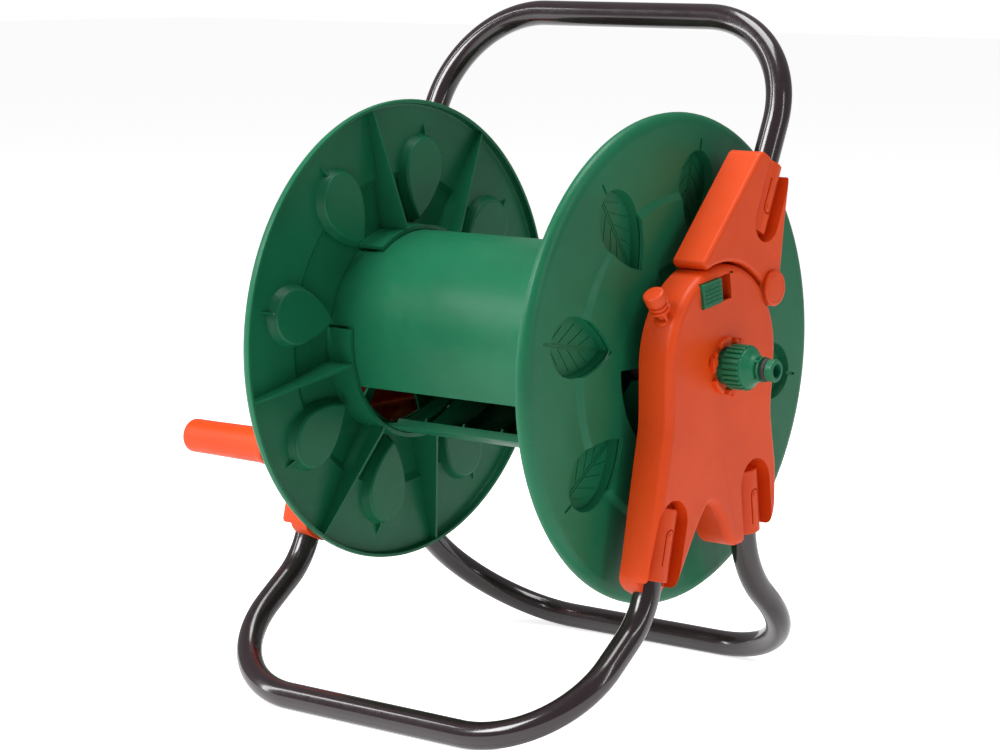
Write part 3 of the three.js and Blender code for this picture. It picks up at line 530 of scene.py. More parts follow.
@kept
def tube_enamel():
    """Baked enamel over steel tube: dark, glossy, with a slight orange peel."""
    nodes = Nodes("Tube enamel")
    enamel = bpy.context.scene.reel_colours.enamel
    lighter = [channel * 1.3 + 0.001 for channel in enamel]
    patches = nodes.spread(nodes.noise(30, 4), 0, 1)
    nodes.link(nodes.mixed(patches, enamel, lighter), nodes.surface.inputs["Base Color"])
    nodes.link(nodes.spread(nodes.noise(220, 4), 0.16, 0.24), nodes.surface.inputs["Roughness"])
    peel = nodes.bump(nodes.noise(420, 2), 0.10, 0.12)
    nodes.link(peel, nodes.surface.inputs["Normal"])
    nodes.surface.inputs["Coat Weight"].default_value = 0.6
    nodes.surface.inputs["Coat Roughness"].default_value = 0.08
    return nodes.material


@kept
def black_rubber():
    """Matt rubber with a little bloom."""
    nodes = Nodes("Black rubber")
    rubber = bpy.context.scene.reel_colours.rubber
    bloom = [channel + 0.02 for channel in rubber]
    patches = nodes.spread(nodes.noise(160, 4), 0, 1)
    nodes.link(nodes.mixed(patches, rubber, bloom), nodes.surface.inputs["Base Color"])
    nodes.link(nodes.spread(nodes.noise(500, 3), 0.5, 0.7), nodes.surface.inputs["Roughness"])
    nodes.link(nodes.bump(nodes.noise(2200, 2), 0.15, 0.05), nodes.surface.inputs["Normal"])
    return nodes.material


@kept
def zinc_steel():
    """Zinc-plated steel with fine turning marks."""
    nodes = Nodes("Zinc steel")
    steel = bpy.context.scene.reel_colours.steel
    dull = [channel * 0.72 for channel in steel]
    patches = nodes.spread(nodes.noise(90, 5), 0, 1)
    nodes.link(nodes.mixed(patches, dull, steel), nodes.surface.inputs["Base Color"])
    nodes.link(nodes.spread(nodes.noise(400, 3), 0.25, 0.4), nodes.surface.inputs["Roughness"])
    marks = nodes.noise(3000, 2, stretch=(1, 0.1, 0.1))
    nodes.link(nodes.bump(marks, 0.2, 0.03), nodes.surface.inputs["Normal"])
    nodes.surface.inputs["Metallic"].default_value = 1.0
    return nodes.material


FINISHES = {
    "green": green_plastic,
    "orange": orange_plastic,
    "black": black_plastic,
    "enamel": tube_enamel,
    "rubber": black_rubber,
    "steel": zinc_steel,
}


# ---- Stand tubes

FRONT_SOCKET, FRONT_KNEE, FRONT_BAR = (-58.6, -96.8), (-75.6, -168.2), (-179, -242.3)
REAR_SOCKET, REAR_KNEE, REAR_BAR = (41.1, -82.9), (50.7, -157.3), (148.2, -242.3)
HANDLE_SOCKET, HANDLE_BAR = (46.6, 92.6), (113.2, 239)


def bent_tube(side, bends):
    """Bends a tube through the stops of one side and back through the other: a ring pulled and spun."""
    right = [Vector((size.leg_x, *stop)) for stop in side]
    left = [Vector((-size.leg_x, *stop)) for stop in reversed(side)]
    stops = right + left
    ways = [(b - a).normalized() for a, b in zip(stops, stops[1:])]
    begin(
        bpy.ops.mesh.primitive_circle_add,
        vertices=40,
        radius=size.tube_radius * MM,
        location=stops[0] * MM,
        rotation=ways[0].to_track_quat("Z", "Y").to_euler(),
        fill_type="NOTHING",
    )
    here = stops[0]
    for corner, before, after, bend in zip(stops[1:], ways, ways[1:], bends):
        angle = before.angle(after)
        start = corner - before * bend * math.tan(angle / 2)
        pull(*(start - here))
        inward = (after - before * before.dot(after)).normalized()
        bpy.ops.mesh.spin(
            steps=max(8, round(math.degrees(angle) / 3)),
            angle=angle,
            center=(start + inward * bend) * MM,
            axis=after.cross(before).normalized(),
        )
        here = corner + after * bend * math.tan(angle / 2)
    pull(*(stops[-1] - here))
    bpy.ops.mesh.select_all(action="SELECT")
    bpy.ops.mesh.fill_holes(sides=0)
    return done()


# ---- Side brackets

HEAD_CENTRE = (-1.5, 5)
FRONT_APEX, FRONT_HALF, FRONT_REACH = (-57.7, -87.5), 16.5, 90
REAR_APEX, REAR_HALF, REAR_REACH = (37.5, -71.5), 18.5, 80
HANDLE_APEX, HANDLE_HALF, HANDLE_REACH = (42.6, 84.2), 15, 90
FRONT_SLEEVE, REAR_SLEEVE, HANDLE_SLEEVE = 48, 44, 49
EAR_RADIUS = 12
EAR_SPLIT = 156
HINGE_BORE = 5.3
BOSS_RADIUS = 22
INLET_BOSS_BACK, CRANK_BOSS_BACK = 160, 148
BUSH_RADIUS = 14.5
CLEAR = 0.3
LATCH_CENTRE = (-21, 52.5)
LATCH_HALF = 11.5
LATCH_TALL = 8.5
LATCH_TRAVEL = 13
LATCH_FACE = 175
KEEPER_Y = (2, 5)

# Corners below the head, each with the radius that its bend may have
SKIRT = [
    (-67, -37, 90), (-73, -65, 90), (-78.5, -93, 90), (-85, -128, 60), (-88.5, -142, 30), (-83, -149, 30),
    (-69, -156.5, 30), (-60.5, -155.5, 30), (-52, -146, 40), (-40, -127, 60), (-27, -107, 60), (-18, -97, 20),
    (-11, -98, 20), (0, -111, 60), (8.5, -127, 40), (17, -132.5, 30), (49, -130.5, 30), (66, -121, 30),
    (69.5, -110, 30), (69.5, -80, 90), (65, -59, 90), (61, -37, 90), (63.5, -18, 90),
]


def sleeve(origin, way, reach):
    """The round sleeve that holds a tube's end, rounded at its closed end."""
    radius = size.sleeve_radius
    profile = [(radius - 1.5, 0), (radius - 0.5, 0.35), (radius, 1.5), (radius, reach - 0.6), (radius - 0.6, reach)]
    return stood_on(turned(profile, 48), (size.leg_x, *origin), way)


def tube_hole(origin, way, reach):
    radius = size.tube_radius + CLEAR
    return stood_on(turned([(radius, 0), (radius, reach)], 48), (size.leg_x, *origin), way)


def tongue_slot(origin, way):
    """The U-shaped slot that frees a snap tongue in a sleeve."""
    outer, width, start, reach = 4.4, 1.1, 11, 26
    outside = arch(along(origin, way, start, 0), outer, reach, way, 12)
    inside = arch(along(origin, way, start + width, 0), outer - width, reach - width, way, 12)
    band = outside[1:] + outside[:1] + [inside[0]] + list(reversed(inside[1:]))
    return prism(band, size.leg_x + 10.6, size.leg_x + 14)


def snap_button(origin, way):
    """The low round button at the end of a snap tongue."""
    centre = along(origin, way, 15.8, 0)
    top = size.leg_x + size.sleeve_radius + 0.5
    return turned([(2.2, top - 3), (2.2, top - 0.5), (1.6, top)], 20, centre)


def with_socket(shell, apex, half_width, reach, socket, way, sleeve_reach):
    """Cuts a tube's pocket in a bracket's face and stands its sleeve there."""
    face = size.bracket_face
    pocket = prism(arch(apex, half_width, reach, way, 24), size.pocket_floor, face + 1)
    cut(shell, pocket)
    origin = along(socket, way, -size.bracket_wall, 0)
    fused(shell, sleeve(origin, way, sleeve_reach + size.bracket_wall))
    cut(shell, tube_hole(socket, way, sleeve_reach + 20))
    cut(shell, tongue_slot(socket, way))
    return fused(shell, snap_button(socket, way))


def hollow_of(outline, kept_pieces):
    """The space behind a bracket's face, less what stands in it."""
    inner = inset(outline, size.bracket_wall)
    space = prism(inner, size.bracket_back - 1, size.bracket_face - size.bracket_wall)
    return cut(space, *kept_pieces)


def pocket_wall(apex, half_width, reach, way):
    wider = arch(along(apex, way, -size.web, 0), half_width + size.web, reach + size.web, way, 24)
    return prism(wider, size.pocket_floor - size.web, size.bracket_face + 1)


def latch_block(x, s, t, edge=0):
    """A block in the latch's own tilted axes: s along its travel, t across it."""
    tilt = math.atan2(LATCH_WAY[1], LATCH_WAY[0])
    place = Matrix.Translation(Vector((0, *LATCH_CENTRE)) * MM) @ Matrix.Rotation(tilt, 4, "X")
    return set_down(block(x, s, t, edge), place)


def latch_window():
    room = 0.6
    return latch_block(
        (size.bracket_face - size.bracket_wall - 1, size.bracket_face + 1),
        (-LATCH_HALF - room, LATCH_HALF + LATCH_TRAVEL + room),
        (-LATCH_TALL - room, LATCH_TALL + room),
    )


def latch_backing():
    """The floor that shows in the free end of the latch's window."""
    reach = LATCH_HALF + LATCH_TRAVEL + 4
    floor = latch_block((161, 163.7), (15.6, reach), (-LATCH_TALL - 3, LATCH_TALL + 3))
    end = latch_block((161, size.bracket_face - 1), (reach - 2.4, reach), (-LATCH_TALL - 3, LATCH_TALL + 3))
    return fused(floor, end)


def stiffeners():
    """Ribs behind the bracket's face."""
    back, face = 150, size.bracket_face - 1
    return [
        block((back, face), (-82, 82), (-19, -17)),
        block((back, face), (-82, 82), (-62, -60)),
        block((back, face), (-16, -14), (-108, -16.5)),
    ]


def side_bracket(boss_back, hole_radius):
    """One side bracket with its boss, pockets, sleeves, hinge ear and latch window."""
    face, back = size.bracket_face, size.bracket_back
    head = [(y, z, 0) for y, z in arc(size.head_radius, 180, 0, 48, HEAD_CENTRE)]
    outline = softened(head + SKIRT)
    front_way = heading(FRONT_SOCKET, FRONT_KNEE)
    rear_way = heading(REAR_SOCKET, REAR_KNEE)
    bite = EAR_RADIUS + 2.2
    shell = prism(outline, back, face, size.bracket_edge, 7)
    hollow = hollow_of(
        outline,
        [
            turned([(BOSS_RADIUS, boss_back), (BOSS_RADIUS, face)]),
            pocket_wall(FRONT_APEX, FRONT_HALF, FRONT_REACH, front_way),
            pocket_wall(REAR_APEX, REAR_HALF, REAR_REACH, rear_way),
            turned([(bite + size.web, EAR_SPLIT - size.web), (bite + size.web, face)], centre=HINGE),
            *stiffeners(),
        ],
    )
    cut(shell, hollow)
    with_socket(shell, FRONT_APEX, FRONT_HALF, FRONT_REACH, FRONT_SOCKET, front_way, FRONT_SLEEVE)
    with_socket(shell, REAR_APEX, REAR_HALF, REAR_REACH, REAR_SOCKET, rear_way, REAR_SLEEVE)

    to_head = heading(HINGE, HEAD_CENTRE)
    ear_apex = along(HINGE, to_head, -EAR_RADIUS, 0)
    cut(shell, turned([(bite, EAR_SPLIT - CLEAR), (bite, face + 1)], centre=HINGE))
    fused(shell, prism(arch(ear_apex, EAR_RADIUS, 34, to_head), back + 0.5, EAR_SPLIT - CLEAR))
    cut(shell, turned([(HINGE_BORE, back - 1), (HINGE_BORE, EAR_SPLIT + 1)], 32, HINGE))
    cut(shell, latch_window())
    cut(shell, block((149, 165), (KEEPER_Y[0] - 1.2, KEEPER_Y[1] + 7), (60, 80)))
    fused(shell, latch_backing())
    cut(shell, turned([(hole_radius, back - 1), (hole_radius, face + 1)]))
    return rounded(shell, 1.1, 3, 50, lambda point: point.x > face - 0.05)


def claw_ring():
    """The split ring of snap claws round the inlet, with a hook on every second claw."""
    face = size.bracket_face
    claws = []
    for k in range(6):
        middle = 60 * k + 12
        claws.append(prism(ring_piece(17, 20.3, middle - 21, middle + 21, 8), face - 1, face + 3.6, 0.7, 3))
        if k % 2 == 0:
            hook = prism(ring_piece(16.6, 22.4, middle - 8, middle + 8, 5), face + 1.4, face + 4.4, 0.8, 3)
            claws[-1] = fused(claws[-1], hook)
    return grouped(claws)


def inlet_bracket():
    bracket = side_bracket(INLET_BOSS_BACK, size.spigot_radius + CLEAR)
    cut(bracket, turned([(19.3, size.bracket_back - 1), (19.3, 166)]))
    return fused(bracket, claw_ring())


def crank_bracket():
    return side_bracket(CRANK_BOSS_BACK, BUSH_RADIUS + CLEAR)


def handle_bracket():
    """The bracket on the end of the carry handle, which turns on the side bracket's ear."""
    seam_radius = size.head_radius + size.seam
    ear_radius = EAR_RADIUS + 1
    span = math.dist(HINGE, HEAD_CENTRE)
    spread = math.acos((seam_radius**2 + span**2 - ear_radius**2) / (2 * seam_radius * span))
    to_hinge = math.degrees(math.atan2(HINGE[1] - HEAD_CENTRE[1], HEAD_CENTRE[0] - HINGE[0]))
    seam_end = to_hinge - math.degrees(spread)
    meeting = arc(seam_radius, seam_end, seam_end, 1, HEAD_CENTRE)[0]
    ear_start = math.degrees(math.atan2(meeting[1] - HINGE[1], HINGE[0] - meeting[0]))
    seam = arc(seam_radius, 71, seam_end, 24, HEAD_CENTRE)
    ear = arc(ear_radius, ear_start, -210, 30, HINGE)[1:]
    corners = [(y, z, 0) for y, z in seam + ear]
    corners += [(69, 62, 30), (73.4, 95.6, 30), (79.2, 130, 6), (42.4, 149, 8), (-29.5, 73.2, 3.6)]
    outline = softened(corners, 6)
    way = heading(HANDLE_SOCKET, HANDLE_BAR)
    face, back = size.bracket_face, size.bracket_back
    shell = prism(outline, back, face, size.handle_bracket_edge, 5)
    hollow = hollow_of(
        outline,
        [
            pocket_wall(HANDLE_APEX, HANDLE_HALF, HANDLE_REACH, way),
            turned([(ear_radius, EAR_SPLIT), (ear_radius, face)], centre=HINGE),
            block((150, face), (15, 17), (62, 122)),
        ],
    )
    cut(shell, hollow)
    with_socket(shell, HANDLE_APEX, HANDLE_HALF, HANDLE_REACH, HANDLE_SOCKET, way, HANDLE_SLEEVE)
    cut(shell, turned([(EAR_RADIUS + 8, back - 1), (EAR_RADIUS + 8, EAR_SPLIT)], centre=HINGE))
    cut(shell, turned([(HINGE_BORE, back - 1), (HINGE_BORE, face + 1)], 32, HINGE))
    keeper = block((150, 163.4), KEEPER_Y, (49.5, HEAD_CENTRE[1] + seam_radius + 2), 0.4)
    cut(keeper, latch_block((152, 162), (-10, 30), (-4, 4)))
    fused(shell, keeper)
    return rounded(shell, 1.1, 3, 50, lambda point: point.x > face - 0.05)


def latch():
    """The green slide latch: a waffled button, its guide plate and the nose that reaches for the keeper."""
    inside = size.bracket_face - size.bracket_wall
    button = latch_block((inside - 0.9, LATCH_FACE - 0.9), (-LATCH_HALF, LATCH_HALF), (-LATCH_TALL, LATCH_TALL))
    faces = button.data.polygons
    front = max(face.center.x for face in faces)
    opened_at(button, "FACE", faces, lambda face: face.center.x > front - 0.1 * MM)
    bpy.ops.mesh.inset(thickness=1.3 * MM)
    bpy.ops.mesh.subdivide(number_cuts=4)
    bpy.ops.mesh.inset(thickness=0.45 * MM, depth=0.0, use_individual=True)
    bpy.ops.mesh.inset(thickness=0.75 * MM, depth=0.9 * MM, use_individual=True)
    bpy.ops.object.mode_set(mode="OBJECT")
    plate = latch_block(
        (164, inside - CLEAR), (-LATCH_HALF - 1.5, LATCH_HALF + 1), (-LATCH_TALL - 2.6, LATCH_TALL - 0.5)
    )
    head = turned([(size.head_radius - size.bracket_wall - 0.6, 140), (size.head_radius - 3.6, 180)], 96, HEAD_CENTRE)
    plate = combined(plate, head, "INTERSECT")
    arm = latch_block((153, inside - 2), (-6, 2), (-6, 4))
    reach = (KEEPER_Y[0] - 1 - LATCH_CENTRE[0]) / LATCH_WAY[0]
    nose = latch_block((154, 160), (-6, reach), (-2, 2), 0.5)
    return fused(button, plate, arm, nose)


# ---- Hinge


def hinge_pin():
    """A pin with a broad round cap, slightly domed, with a shallow ring in it."""
    face, back = size.bracket_face + CLEAR, size.bracket_back - 3
    return turned(
        [
            (4, back), (5, back + 1), (5, face), (12.3, face), (12.8, face + 0.5), (12.8, face + 2),
            (12.4, face + 2.6), (11.6, face + 2.9), (10.2, face + 3), (9.9, face + 2.75), (9.4, face + 2.75),
            (9.1, face + 3), (4, face + 3.15), (0.6, face + 3.2),
        ],
        64,
        HINGE,
    )


def hinge_clip():
    """The push-on clip behind the ear, with its gripping teeth."""
    back = size.bracket_back - CLEAR
    clip = tube_ring(5.1, 9, back - 1, back, 48, HINGE)
    notches = [
        spun_about_hinge(block((back - 2, back + 1), (-0.5, 0.5), (4.5, 7.2)), 60 * k) for k in range(6)
    ]
    return cut(clip, grouped(notches))


def spun_about_hinge(piece, degrees):
    place = Matrix.Translation(Vector((0, *HINGE)) * MM) @ Matrix.Rotation(math.radians(degrees), 4, "X")
    return set_down(piece, place)


# ---- Drum

LEAVES = 8
LEAF_PHASE = 10
LEAF_MIDDLE = 118
LEAF_TAPER = 0.9
PLATEAU_RADIUS = 114.5
STEP_RADIUS = 118.5
COLLAR_REACH = 14.5
COLLAR_INNER = 77.9
COLLAR_OUTER = 80.9
TABS = (8, 55)
TAB_SLACK = 1.6
# Angles of the two windows in each half of a flange, to either side of a spoke
WINDOWS = ((TABS[1] + 12, 120), (128, TABS[0] + 172))
WINDOW_INNER = 30
HUB_WALL = 6.3
HOOPS = (-72, -36, 0, 36, 72)
EDGE_REACH = 98
FRONT_SHELL = (-26.5, 152.9)
REAR_SHELL = (153.5, 300)
HOSE_GAP = 33.5
# Half widths of a leaf at radii from its tip to its round end, where the stem leaves
LEAF = [
    (82, 0), (87, 4.6), (92, 8.7), (97, 12.2), (102, 15), (108, 17.9), (114, 20.2), (120, 21.7), (126, 22.1),
    (132, 21.2), (137, 19.4), (141, 17), (145, 13.4), (148, 9.4), (149.8, 5.4), (150.6, 2.2), (150.8, 0),
]
# Side veins of half a leaf: from beside the midrib near the stem, slanting towards the edge and the tip
VEINS = [((142, 2.2), (131, 13.5)), ((132, 2.2), (117, 16.3)), ((121, 2.2), (106, 13.6)), ((109, 2.2), (98, 9))]


def leaf_outline(scale, wider=0):
    """A leaf about the front radius; scaled about its middle and widened all round."""
    right = [(LEAF_MIDDLE + (radius - LEAF_MIDDLE) * scale, half * scale + wider) for radius, half in LEAF]
    outline = right + [(radius, -half) for radius, half in reversed(right) if half]
    return [(-radius, -half) for radius, half in outline]


def flared(piece, beyond, scale):
    """Widens the end of a piece that lies beyond a plane, about the middle of a leaf."""
    opened_at(piece, "VERT", piece.data.vertices, lambda vertex: vertex.co.x > beyond * MM)
    bpy.ops.transform.resize(value=(1, scale, scale), center_override=Vector((0, -LEAF_MIDDLE, 0)) * MM)
    bpy.ops.object.mode_set(mode="OBJECT")
    return piece


def leaf_pocket():
    """The tapered block that leaves a leaf-shaped pocket, with the shallow notch of its stem."""
    floor, face = size.web_face - size.leaf_depth, size.plateau_face
    pocket = flared(prism(leaf_outline(LEAF_TAPER), floor, face + 1), face + 0.5, 1 / LEAF_TAPER)
    stem = [(-158, -0.8), (-147, -1.4), (-147, 1.4), (-158, 0.8)]
    return fused(pocket, prism(stem, size.web_face - 1.3, face + 1))


def vein(start, end, width=0.8):
    """A thin bar that cuts one vein in a leaf's floor."""
    floor = size.web_face - size.leaf_depth
    (u0, v0), (u1, v1) = start, end
    way = Vector((u1 - u0, v1 - v0)).normalized() * width / 2
    left = [(u0 - way.y, v0 + way.x), (u1 - way.y, v1 + way.x)]
    right = [(u1 + way.y, v1 - way.x), (u0 + way.y, v0 - way.x)]
    return prism([(-u, v) for u, v in left + right], floor - 0.55, floor + 1)


def leaf_veins():
    bars = [vein((88, side * 1.1), (146, side * 1.1)) for side in (1, -1)]
    for start, end in VEINS:
        bars += [vein((start[0], side * start[1]), (end[0], side * end[1])) for side in (1, -1)]
    return grouped(bars)


def stood_across(wall):
    """Turns a thin wall drawn in y and x so that it stands across the drum."""
    return set_down(wall, Matrix(((0, 0, 1), (0, 1, 0), (-1, 0, 0))).to_4x4())


def leaf_boss():
    """The flat-topped boss behind a leaf pocket, its top edge rounded, with the stem's rib."""
    top = size.web_face - size.web - size.leaf_depth
    face = size.web_face - 1.2
    boss = prism(leaf_outline(LEAF_TAPER, 1.4), face, top, 2.6, 5)
    boss = flared(boss, face - 0.5, 1.12)
    rib = prism([(-161, face), (-144, face), (-144, face - 4.5), (-151, face - 4.5)], -0.8, 0.8)
    return fused(boss, stood_across(rib))


def all_round(make):
    """One of a piece at every leaf."""
    first = make()
    copies = [copied(first) for _ in range(LEAVES - 1)]
    pieces = [first] + copies
    for k, piece in enumerate(pieces):
        spun(piece, LEAF_PHASE + 360 / LEAVES * k)
    return grouped(pieces)


def gusset():
    """A radial wall between collar and rim, to the front before it is turned into place."""
    web_back = size.web_face - size.web
    plateau_back = size.plateau_face - size.web
    rim = size.flange_radius
    outline = [
        (COLLAR_INNER + 1, size.rim_edge - COLLAR_REACH), (COLLAR_OUTER + 3.5, size.rim_edge - COLLAR_REACH - 1),
        (rim - 3.4, size.rim_edge + 0.8), (rim - 3.4, web_back + 1), (STEP_RADIUS + 1, web_back + 1),
        (PLATEAU_RADIUS + 1, plateau_back + 1), (COLLAR_INNER + 1, plateau_back + 1),
    ]
    return stood_across(prism([(-radius, x) for radius, x in outline], -1, 1))


def ridge_profile():
    """The outer face from the plateau to the rim, and back along the inner face."""
    web_face, web_back = size.web_face, size.web_face - size.web
    plateau, plateau_back = size.plateau_face, size.plateau_face - size.web
    rim = size.flange_radius
    quarter = [math.radians(90 * k / 8) for k in range(9)]
    crown = [(rim - 9 + 9 * math.sin(a), web_face - 6.5 + 6.5 * math.cos(a)) for a in quarter]
    return [
        (PLATEAU_RADIUS - 1.2, plateau), (PLATEAU_RADIUS, plateau - 0.25), (PLATEAU_RADIUS + 0.9, plateau - 1),
        (STEP_RADIUS - 1, web_face + 1), (STEP_RADIUS, web_face + 0.25), (STEP_RADIUS + 1.2, web_face),
        *crown,
        (rim - 0.4, size.rim_edge + 0.4), (rim - 0.9, size.rim_edge), (rim - 2.6, size.rim_edge),
        (rim - 3, size.rim_edge + 0.4), (rim - 3.2, web_back - 2.2), (rim - 4, web_back - 0.7),
        (rim - 5.6, web_back), (STEP_RADIUS + 1.4, web_back), (STEP_RADIUS + 0.6, web_back + 0.7),
        (PLATEAU_RADIUS + 1, plateau_back - 0.5), (PLATEAU_RADIUS - 0.4, plateau_back),
    ]


def flange_body():
    """What both flanges share: dish, collar, inner ring, gussets, bosses, leaf pockets, tab room and windows."""
    plateau_back = size.plateau_face - size.web
    ring_outer = size.core_radius - size.core_wall - 0.6
    ring_inner = ring_outer - size.web
    body = turned(ridge_profile(), 128)
    fused(body, tube_ring(COLLAR_INNER, COLLAR_OUTER, size.rim_edge - COLLAR_REACH, plateau_back + 1, 128))
    fused(body, tube_ring(ring_inner, ring_outer, size.rim_edge - 8, plateau_back + 1, 128))
    fused(body, all_round(leaf_boss))
    between = 360 / LEAVES
    gussets = [spun(gusset(), LEAF_PHASE + between * (k + 0.5)) for k in range(LEAVES) if k % 4]
    fused(body, grouped(gussets))
    cut(body, all_round(leaf_pocket))
    rounded(body, 0.7, 2, 35, lambda point: point.x > size.web_face - 0.3 and point.yz.length > 80)
    cut(body, all_round(leaf_veins))
    rooms, windows = [], []
    for half in (0, 180):
        start, end = TABS[0] - TAB_SLACK + half, TABS[1] + TAB_SLACK + half
        rooms.append(prism(ring_piece(size.core_radius - 1.2, COLLAR_OUTER + 1, start, end, 16), 90, plateau_back))
        for first, last in WINDOWS:
            opening = ring_piece(WINDOW_INNER, ring_inner - 1, first + half, last + half, 16)
            windows.append(prism(opening, plateau_back - 1, size.plateau_face + 1))
    cut(body, grouped(rooms))
    return cut(body, grouped(windows))


def hub(depth):
    """The hub in the middle of a flange."""
    radius, face = size.spigot_radius + HUB_WALL, size.plateau_face
    return turned([(radius, face - depth), (radius, face + 4.9), (radius - 0.6, face + 5.5)])


def inlet_flange(body):
    """Adds the hub that turns on the spigot."""
    bore, face = size.spigot_radius + 0.1, size.plateau_face
    fused(body, hub(20))
    return cut(body, turned([(bore, face - 40), (bore, face + 20)]))


def crank_flange(body):
    """Adds the axle that the crank arm is screwed to."""
    face, end = size.plateau_face, size.crank_back
    fused(body, hub(16))
    fused(body, turned([(12, face), (12, end - 2)]))
    fused(body, block((end - 3, end + 10), (-7.5, 7.5), (-7.5, 7.5), 0.8))
    cut(body, turned([(7, face - 20), (7, end - 12)], 32))
    return cut(body, turned([(2, end - 13), (2, end + 20)], 24))


def core_shell(span, turn):
    """One of the two shells of the winding core, with tabs, hoops and thickened long edges."""
    outer, inner = size.core_radius, size.core_radius - size.core_wall
    start, end = span
    tab_start, tab_end = (angle + turn for angle in TABS)
    reach = size.rim_edge - COLLAR_REACH + 6
    tab_reach = size.plateau_face - size.web - CLEAR
    shell = prism(ring_piece(inner, outer, start, end, 72), -reach, reach)
    fused(shell, prism(ring_piece(inner, outer, tab_start, tab_end, 24), -tab_reach, tab_reach))
    for x in HOOPS:
        fused(shell, prism(ring_piece(inner - 6.4, inner + 0.5, start, end, 36), x - 0.8, x + 0.8))
    for angle in (start, end - 1.5):
        fused(shell, prism(ring_piece(inner - 4, inner + 0.5, angle, angle + 1.5, 2), -EDGE_REACH, EDGE_REACH))
    return rounded(shell, 0.4, 2, 50)


# ---- Water way

SPIGOT_BORE = 9
SPIGOT_START, SPIGOT_END = 105, 188
NUT_BAND = (178.5, 191.6)
NUT_RIBS = 24
ELBOW_X = 93


def inlet_spigot():
    radius, bore, start, end = size.spigot_radius, SPIGOT_BORE, SPIGOT_START, SPIGOT_END
    profile = [
        (bore, start), (radius - 0.5, start), (radius, start + 0.6), (radius, 160), (19, 160), (19, 165.7),
        (radius, 165.7), (radius, end - 0.6), (radius - 0.6, end), (bore, end), (bore, start),
    ]
    return turned(profile, 64, filled=False)


def ribbed_nut():
    """The nut's ribbed band: rounded ribs with narrow grooves between."""
    radius, step = size.nut_radius, 360 / NUT_RIBS
    outline = []
    for k in range(NUT_RIBS):
        for share, depth in ((0.08, 1.5), (0.17, 0.4), (0.28, 0), (0.72, 0), (0.83, 0.4), (0.92, 1.5)):
            outline.append(arc(radius - depth, (k + share) * step, (k + share) * step, 1)[0])
    return prism(outline, *NUT_BAND, 0.8, 3)


def tap_adapter():
    """Ribbed nut, domed shoulder, finned neck, groove and nipple tip, hollow right through."""
    tip, bore, end = size.nipple_radius, 4.65, 214
    nipple = turned(
        [
            (14.6, 190.5), (14.6, 191.9), (14.2, 192.8), (13.0, 194.0), (11.6, 195.0), (10.6, 196.2), (9.9, 197.6),
            (9.4, 199.0), (8.6, 199.8), (7.0, 200.3), (6.7, 201.2), (7.0, 202.1), (9.0, 202.4), (9.0, 203.4),
            (6.6, 203.6), (6.6, 208.4), (tip, 208.5), (tip, end - 1.2), (tip - 0.35, end - 0.4), (tip - 1.1, end),
        ]
    )
    adapter = fused(ribbed_nut(), nipple)
    fins = []
    for k in range(4):
        fin = prism([(-9.2, -0.7), (-5.5, -0.7), (-5.5, 0.7), (-9.2, 0.7)], 197.6, 203)
        fins.append(spun(fin, 45 + 90 * k))
    fused(adapter, grouped(fins))
    cut(adapter, turned([(size.spigot_radius + 0.5, 178), (size.spigot_radius + 0.5, 190.4)]))
    return cut(adapter, turned([(bore, 188), (bore, end - 1), (bore + 0.6, end + 0.5)], 40))


def o_ring():
    """A round-section ring in the nipple's groove."""
    middle, half_thick = 7.35, 0.95
    centre, half_wide = 206.1, 1.9
    turns = [math.radians(360 * k / 16) for k in range(17)]
    profile = [(middle + half_thick * math.cos(a), centre + half_wide * math.sin(a)) for a in turns]
    profile[-1] = profile[0]
    return turned(profile, 64, filled=False)


def flat_ring(inner, outer, x0, x1):
    """A soft washer with rounded edges."""
    edge = 0.3
    profile = [
        (inner, x0 + edge), (inner + edge, x0), (outer - edge, x0), (outer, x0 + edge), (outer, x1 - edge),
        (outer - edge, x1), (inner + edge, x1), (inner, x1 - edge), (inner, x0 + edge),
    ]
    return turned(profile, 48, filled=False)


def hose_elbow():
    """The turning elbow: a cup on the spigot, and a barbed tail that points at the gap in the core."""
    hub = size.spigot_radius + 5.3
    bore = size.spigot_radius + CLEAR
    face = size.plateau_face - 20.3
    cup = turned([(hub - 2, 84), (hub - 0.6, 84.6), (hub, 86), (hub, face - 0.5), (hub - 0.5, face)])
    cut(cup, turned([(bore, 102.7), (bore, face + 1)]))
    cut(cup, turned([(SPIGOT_BORE, 95), (SPIGOT_BORE, 104)]))
    angle = math.radians(FRONT_SHELL[0] - HOSE_GAP / 2)
    way = (-math.cos(angle), math.sin(angle))
    tail = turned(
        [
            (7, 10), (7, 38), (7.6, 38.4), (7.6, 39.4), (6.4, 39.8), (6.4, 42.6), (8.2, 44.4), (8.2, 45), (6.4, 45.2),
            (6.4, 47.6), (8.2, 49.6), (8.2, 50.2), (6.4, 50.4), (6.4, 52.8), (7.8, 54.6), (7.4, 56), (6.4, 57),
        ],
        48,
    )
    fused(cup, stood_on(tail, (ELBOW_X, 0, 0), way))
    return cut(cup, stood_on(turned([(5, 0), (5, 60)], 32), (ELBOW_X, 0, 0), way))


